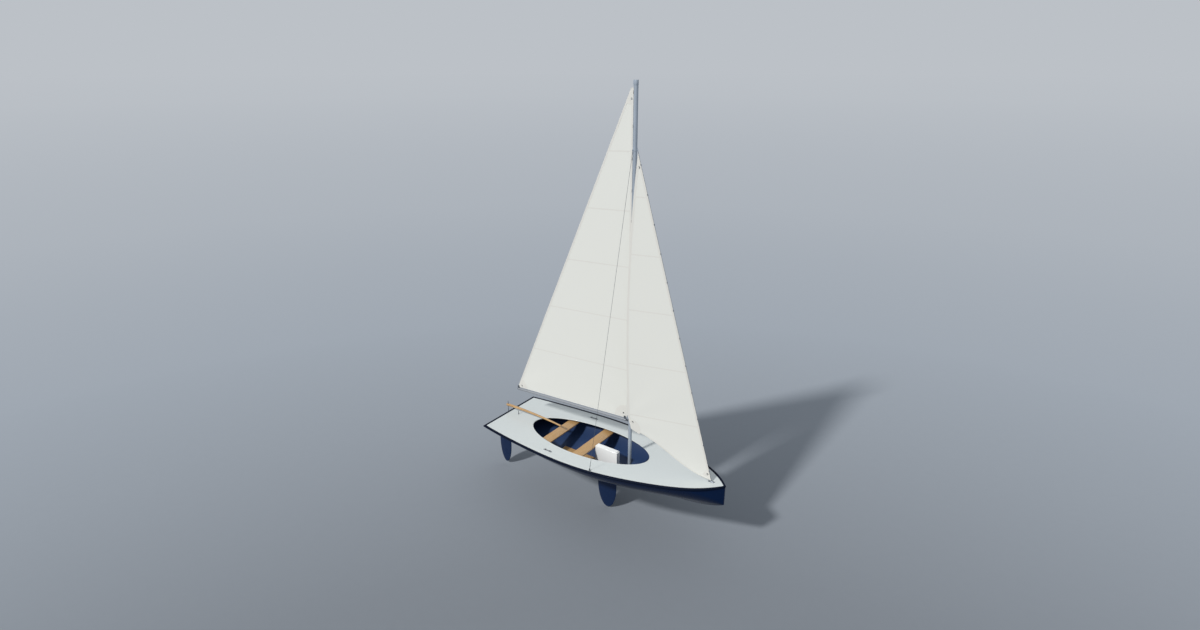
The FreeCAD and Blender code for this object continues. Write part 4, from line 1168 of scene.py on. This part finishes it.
class DINGHY_OT_jib(bpy.types.Operator):
    """Cut and sew the jib"""
    bl_idname = "dinghy.jib"
    bl_label = "Jib"

    SEAM_HEIGHTS, PATCH, HANKS = (1.35, 2.27, 3.20, 4.12, 5.03), 0.17, 12

    @staticmethod
    def outline(flat, start, end, count):
        """The sail's edge from its tack, past the clew, to its head, evenly stepped.

        The edge points are sorted by their angle about the sail's middle, and taken on the
        side of the loop that lies away from the luff.
        """
        offset = flat - flat.mean(0)
        loop = flat[np.argsort(np.arctan2(offset[:, 1], offset[:, 0]))]
        loop = np.roll(loop, -int(np.argmin(np.linalg.norm(loop - start, axis=1))), axis=0)
        last = int(np.argmin(np.linalg.norm(loop - end, axis=1)))
        edge = loop[:last + 1] if loop[1:last, 1].max(initial=0.0) > 0.1 else np.concatenate(
            [loop[:1], loop[:last - 1:-1]])
        far = travelled(edge)
        kept = np.diff(far, prepend=-1.0) > 1e-4
        edge, far = edge[kept], travelled(edge[kept])
        steps = np.unique(np.concatenate([np.linspace(0, far[-1], count), far]))
        return np.stack([np.interp(steps, far, values) for values in edge.T], -1)

    def execute(self, context):
        node = "jib"
        points = node_points(node)
        head, tack = extreme(node, (0, 0, 1)), extreme(node, (1, 0, -0.3))
        clew = extreme(node, (-0.1, -1, 0.0))
        plane = SailPlane(tack, head, clew)
        level = (points - tack) @ plane.normal
        plane.tack = plane.tack + plane.normal * (level.max() + level.min()) / 2
        t, h, c = plane.flat(np.stack([tack, head, clew]))
        right = self.outline(plane.flat(points), t, h, 170)
        world_up = np.array([plane.up[2], plane.out[2]])
        height = np.maximum.accumulate(right @ world_up)
        left = points_at(height / world_up[0], 0.0)
        rising = height + np.arange(len(height)) * 1e-9
        seams = np.interp(np.array(self.SEAM_HEIGHTS) - plane.tack[2], rising,
                          np.arange(len(right)))
        # the foot's aft end: the lowest point under the chord in the last part of its span
        span = np.linalg.norm(c - t)
        chord = (c - t) / span
        along, below = (right - t) @ chord, (right - t) @ np.array([-chord[1], chord[0]])
        foot = right[np.argmax(np.where(along > span * 0.85, below, -1.0))]
        corners = [(t, h, foot, t + (0.115, 0.040)), (h, t, c, h + (-0.22, 0.035)),
                   (foot, c, t, (foot + c) / 2 + (0.010, -0.060))]
        make_sail(node, plane, left, right, seams, corners, self.PATCH)

        stay_foot, stay_head = (end * (1, 0, 1) for end in stay_ends("forestay", 1, 0))
        way = unit(stay_head - stay_foot)
        ahead = np.cross(PORT, way)
        ahead *= np.sign(ahead[0])
        hank, quads = rounded_block((0.0095, 0.0042, 0.011), 0.45)
        share = np.linspace(0.03, 0.965, self.HANKS)[:, None]
        spots = (tack + share * (head - tack) + ahead * 0.001) * (1, 0, 1)
        hanks = moved((hank @ np.stack([ahead, np.cross(way, ahead), way]), quads), spots)
        make_piece("jib_hanks", hanks, BODY_OF[node], "steel")
        return {"FINISHED"}


class DINGHY_OT_fittings(bpy.types.Operator):
    """Finish the metal and plastic fittings, and add their screws and bolts"""
    bl_idname = "dinghy.fittings"
    bl_label = "Fittings"

    # plates on the deck: their screws' places from the middle, and their thickness
    PLATES = (("chainplate_port", ((-0.016, 0), (0.016, 0)), 0.004),
              ("chainplate_starboard", ((-0.016, 0), (0.016, 0)), 0.004),
              ("stem_fitting", ((-0.046, 0.0105), (-0.046, -0.0105), (0.044, 0.0105),
                                (0.044, -0.0105)), 0.004),
              ("fairlead_port", ((-0.080, 0), (0.080, 0)), 0.008),
              ("fairlead_starboard", ((-0.080, 0), (0.080, 0)), 0.008))
    STOPS, STOP_HALF, STOP_RISE = ((-0.052, 0), (0.052, 0)), (0.009, 0.012, 0.0075), 0.013
    # gudgeons: their screws' places athwart, from their fore side, and from their ends
    GUDGEON_SCREWS, FLANGE, INSET = (-0.022, 0.022), 0.004, 0.007
    COLLAR_GAP, CAP_SEAT, COUNTERSINK = 0.005, 0.010, 0.001
    # profiles in millimetres of what turns about the rudder post
    COLLAR = ((6, 0), (11, 0), (12, 1), (12, 5), (11, 6), (6, 6))
    CAP = ((0, 0), (7.2, 0), (8.4, 1.5), (8.4, 8), (6, 11), (0, 12))
    # wooden pieces: how far their screws stand in from the ends and from the sides
    BOARDS = (("aft_thwart", 0.035, 0.10), ("main_thwart", 0.035, 0.10),
              ("mast_step", 0.022, 0.02))
    # parts with bolts through them: the bolts' places, and their height over the middle
    BOLTED = (("pintle_lower", (0.018, 0.052), 0.004), ("pintle_upper", (0.018, 0.052), 0.004),
              ("rudder_cheek_port", (0.03, -0.03), 0.0))

    @staticmethod
    def over_deck(sizes, node, spots, above):
        """Places by a node's middle, at a height above the deck."""
        x, y, _ = box_of(node).mean(0)
        return [(x + dx, y + dy, sheer(sizes, x + dx) + above) for dx, dy in spots]

    def execute(self, context):
        sizes = context.scene.dinghy_sizes
        paint(("chainplate_port", "chainplate_starboard", "stem_fitting", "gudgeon_lower",
               "gudgeon_upper", "pintle_lower", "pintle_upper", "rudder_post",
               "sheet_post"), "steel")
        paint(("fairlead_port", "fairlead_starboard"), "boom alloy")
        stops = [spot for node in ("fairlead_port", "fairlead_starboard")
                 for spot in self.over_deck(sizes, node, self.STOPS, self.STOP_RISE)]
        make_piece("fairlead_stops", moved(rounded_block(self.STOP_HALF, 0.4), stops), "hull",
                   "black plastic")

        collar, cap = lathe(self.COLLAR, 24, MM, closed=True), lathe(self.CAP, 24, MM)
        post = box_of("rudder_post")
        axis, top = post.mean(0)[0], post[1, 2] - self.CAP_SEAT
        half = sizes.tiller_butt / 2
        collars = [((axis, 0, sizes.tiller_aft + dz), UP)
                   for dz in (half, -half - self.COLLAR_GAP)]
        make_piece("post_collars", joined([placed(collar, collars),
                                           placed(cap, [((axis, 0, top), UP)])]),
                   "rudder", "steel")

        screws = [(spot, UP) for node, spots, plate in self.PLATES
                  for spot in self.over_deck(sizes, node, spots, plate)]
        for node in ("gudgeon_lower", "gudgeon_upper"):
            low, high = box_of(node)
            screws += [((high[0] - self.FLANGE, y, z), -FORE) for y in self.GUDGEON_SCREWS
                       for z in (low[2] + self.INSET, high[2] - self.INSET)]
        wood_screws, bolts = [], []
        for node, dx, dy in self.BOARDS:
            low, high = box_of(node)
            wood_screws += [((x, y, high[2] - self.COUNTERSINK), UP)
                            for x in (low[0] + dx, high[0] - dx)
                            for y in (low[1] + dy, high[1] - dy)]
        for node, spots, above in self.BOLTED:
            low, high = box_of(node)
            bolts += [(((low if dx > 0 else high)[0] + dx, side * high[1],
                        (low[2] + high[2]) / 2 + above), side * PORT)
                      for side in (1, -1) for dx in spots]
        for name, head, places, body in (
                ("deck_and_transom_screws", PAN_HEAD, screws, "hull"),
                ("rudder_bolts", HEX_HEAD, bolts, "rudder"),
                ("joinery_screws", PAN_HEAD, wood_screws, "hull")):
            make_piece(name, placed(head, places), body, "steel")
        return {"FINISHED"}


class DINGHY_OT_cockpit_edge(bpy.types.Operator):
    """Turn a rounded lip round the oval opening of the deck"""
    bl_idname = "dinghy.cockpit_edge"
    bl_label = "Cockpit edge"

    RADIUS, DROP = 0.0085, 0.006

    def execute(self, context):
        # a circle of RADIUS in the planes square to the oval x = a cos t, y = b sin t,
        # whose outward direction is (b cos t, a sin t), just under the deck's height
        sizes = context.scene.dinghy_sizes
        long, wide = sizes.cockpit_length, sizes.cockpit_width
        cosine, sine = ring(240)
        x = STERN + sizes.cockpit_aft + long / 2 * cosine
        path = points_at(x, wide / 2 * sine, sheer(sizes, x) - self.DROP)
        outward = unit(points_at(cosine * wide, sine * long, 0.0))
        out, up = np.array(ring(14))[..., None] * self.RADIUS
        points = path[:, None] + outward[:, None] * out + UP * up
        make_piece("cockpit_lip", ringed(np.concatenate([points, points[:1]])), "hull",
                   "deck gelcoat")
        return {"FINISHED"}


def aim(backwards):
    """The Euler angles that turn +Z to a direction and keep X level."""
    x, y, z = unit(backwards)
    return (math.acos(z), 0.0, math.atan2(y, x) + math.pi / 2)


class DINGHY_OT_stage(bpy.types.Operator):
    """Lay the floor, light the boat softly and set up the camera"""
    bl_idname = "dinghy.stage"
    bl_label = "Stage"

    CAMERA_AT, LENS, SENSOR_WIDTH = (6.170, -8.901, 7.060), 20.265, 36.0
    YAW, PITCH = math.radians(125.35), math.radians(20.90)
    SUN_POWER, SUN_ANGLE, SUN_TRAVEL = 2.60, math.radians(5.0), (0.30, 1.10, -1.0)
    SUN_COLOUR, SKY_COLOUR, SKY_STRENGTH = (1.0, 0.985, 0.955), (0.90, 0.95, 1.0, 1.0), 0.52
    FLOOR_RADII = (0, 4, 8, 14, 25, 45, 90, 180, 400)
    # the floor's tone changes with the distance from a point abeam of the bow
    NEAR_POINT, NEAREST, FARTHEST = (*CAMERA_AT[:2], 0.0), 6.0, 400.0
    # painted light falloff: the floor is painted darker near that point and lighter further off;
    # metres, share of the floor's colour
    TONE = ((6.0, 0.84), (8.4, 0.87), (9.3, 0.91), (11.4, 1.05), (14.7, 1.23), (20.6, 1.44),
            (400.0, 1.44))
    # how it then fades into the backdrop: metres, amount
    FADE = ((6.0, 0.0), (20.0, 0.0), (28.5, 0.21), (39.5, 0.44), (62.0, 0.60), (90.0, 0.74),
            (160.0, 0.91), (400.0, 1.0))

    def floor_material(self, colours):
        """Floor painted darker near the point under the camera and lighter further off, as
        painted light falloff; it fades to the backdrop's colour far from the boat.
        """
        made = Finish("floor", Roughness=0.9, Specular_IOR_Level=0.1)
        offset = made.vectors("SUBTRACT", made.where, self.NEAR_POINT)[0]
        doublings = made.maths("LOGARITHM", made.vectors("LENGTH", offset)["Value"], 2.0)
        near, most = math.log2(self.NEAREST), math.log2(self.FARTHEST)

        def ramp(stops, rgb):
            """The colour times a share that follows the distance: (metres, share) pairs."""
            node = made.add("ShaderNodeValToRGB", {0: made.spread(doublings, near, most)})
            elements = node.color_ramp.elements
            for metres, _ in stops[1:-1]:
                elements.new((math.log2(metres) - near) / (most - near))
            for element, (_, share) in zip(elements, stops):
                element.color = linear(rgb, share)
            return node.outputs[0]

        # the base colour is the painted light falloff, times a faint random speckle
        made.feed(made.shader.inputs["Base Color"], made.mixed(
            made.noise(made.where, 6.0, 5.0), ramp(self.TONE, colours.floor),
            (0.97, 0.97, 0.97, 1.0), "MULTIPLY"))
        faded = made.times(ramp(self.FADE, (1.0, 1.0, 1.0)), made.seen())
        made.blend(faded, made.shader.outputs[0], "ShaderNodeEmission", colours.distance,
                   "Material Output")
        return made.material

    def execute(self, context):
        scene, colours = context.scene, context.scene.dinghy_colours
        level = box_of("daggerboard")[0, 2] - 0.002
        mesh = surface("floor", lathe([(radius, level) for radius in self.FLOOR_RADII], 96))
        with edited(mesh) as work:
            bmesh.ops.remove_doubles(work, verts=work.verts, dist=1e-4)
        mesh.materials.append(self.floor_material(colours))
        linked("floor", mesh)

        sun = bpy.data.lights.new("sun", "SUN")
        sun.energy, sun.angle, sun.color = self.SUN_POWER, self.SUN_ANGLE, self.SUN_COLOUR
        linked("sun", sun).rotation_euler = aim(-np.array(self.SUN_TRAVEL))

        scene.world = bpy.data.worlds.new("soft sky")
        scene.world.use_nodes = True
        sky = Shading(scene.world.node_tree)
        light = sky.tree.nodes["Background"]
        sky.feed(light.inputs["Color"], self.SKY_COLOUR)
        sky.feed(light.inputs["Strength"], self.SKY_STRENGTH)
        sky.blend(sky.seen(), light.outputs[0], "ShaderNodeBackground", colours.distance,
                  "World Output")

        camera = bpy.data.cameras.new("camera")
        camera.sensor_width, camera.lens, camera.clip_end = self.SENSOR_WIDTH, self.LENS, 1000.0
        scene.camera = linked("camera", camera)
        scene.camera.location = self.CAMERA_AT
        level_part = math.cos(self.PITCH)
        scene.camera.rotation_euler = aim((-math.cos(self.YAW) * level_part,
                                           -math.sin(self.YAW) * level_part,
                                           math.sin(self.PITCH)))
        scene.view_settings.view_transform = "Standard"
        return {"FINISHED"}


OPERATORS = (DINGHY_OT_stage, DINGHY_OT_gelcoat, DINGHY_OT_cockpit_edge, DINGHY_OT_woodwork,
             DINGHY_OT_foils, DINGHY_OT_spars, DINGHY_OT_rigging, DINGHY_OT_mainsail,
             DINGHY_OT_jib, DINGHY_OT_fittings)


class DINGHY_PT_panel(bpy.types.Panel):
    """Lists the steps that build the dinghy"""
    bl_idname = "DINGHY_PT_panel"
    bl_label = "Sailing Dinghy"
    bl_space_type = "VIEW_3D"
    bl_region_type = "UI"
    bl_category = "Dinghy"

    def draw(self, context):
        layout = self.layout
        for operator in OPERATORS:
            layout.operator(operator.bl_idname)
        for group in (context.scene.dinghy_colours, context.scene.dinghy_sizes):
            for name in group.bl_rna.properties.keys():
                if name not in ("rna_type", "name"):
                    layout.prop(group, name)


CLASSES = (DinghyColours, DinghySizes, *OPERATORS, DINGHY_PT_panel)


def register():
    """Register the add-on's classes and its properties on the scene."""
    for cls in CLASSES:
        bpy.utils.register_class(cls)
    bpy.types.Scene.dinghy_colours = bpy.props.PointerProperty(type=DinghyColours)
    bpy.types.Scene.dinghy_sizes = bpy.props.PointerProperty(type=DinghySizes)


def unregister():
    """Take the add-on's classes and properties away again."""
    del bpy.types.Scene.dinghy_sizes
    del bpy.types.Scene.dinghy_colours
    for cls in reversed(CLASSES):
        bpy.utils.unregister_class(cls)


def main():
    """Build the whole boat and its stage."""
    register()
    for operator in OPERATORS:
        group, name = operator.bl_idname.split(".")
        result = getattr(getattr(bpy.ops, group), name)()
        if result != {"FINISHED"}:
            raise RuntimeError(f"{operator.bl_idname} did not finish")
    bpy.context.view_layer.update()


if __name__ == "__main__":
    main()
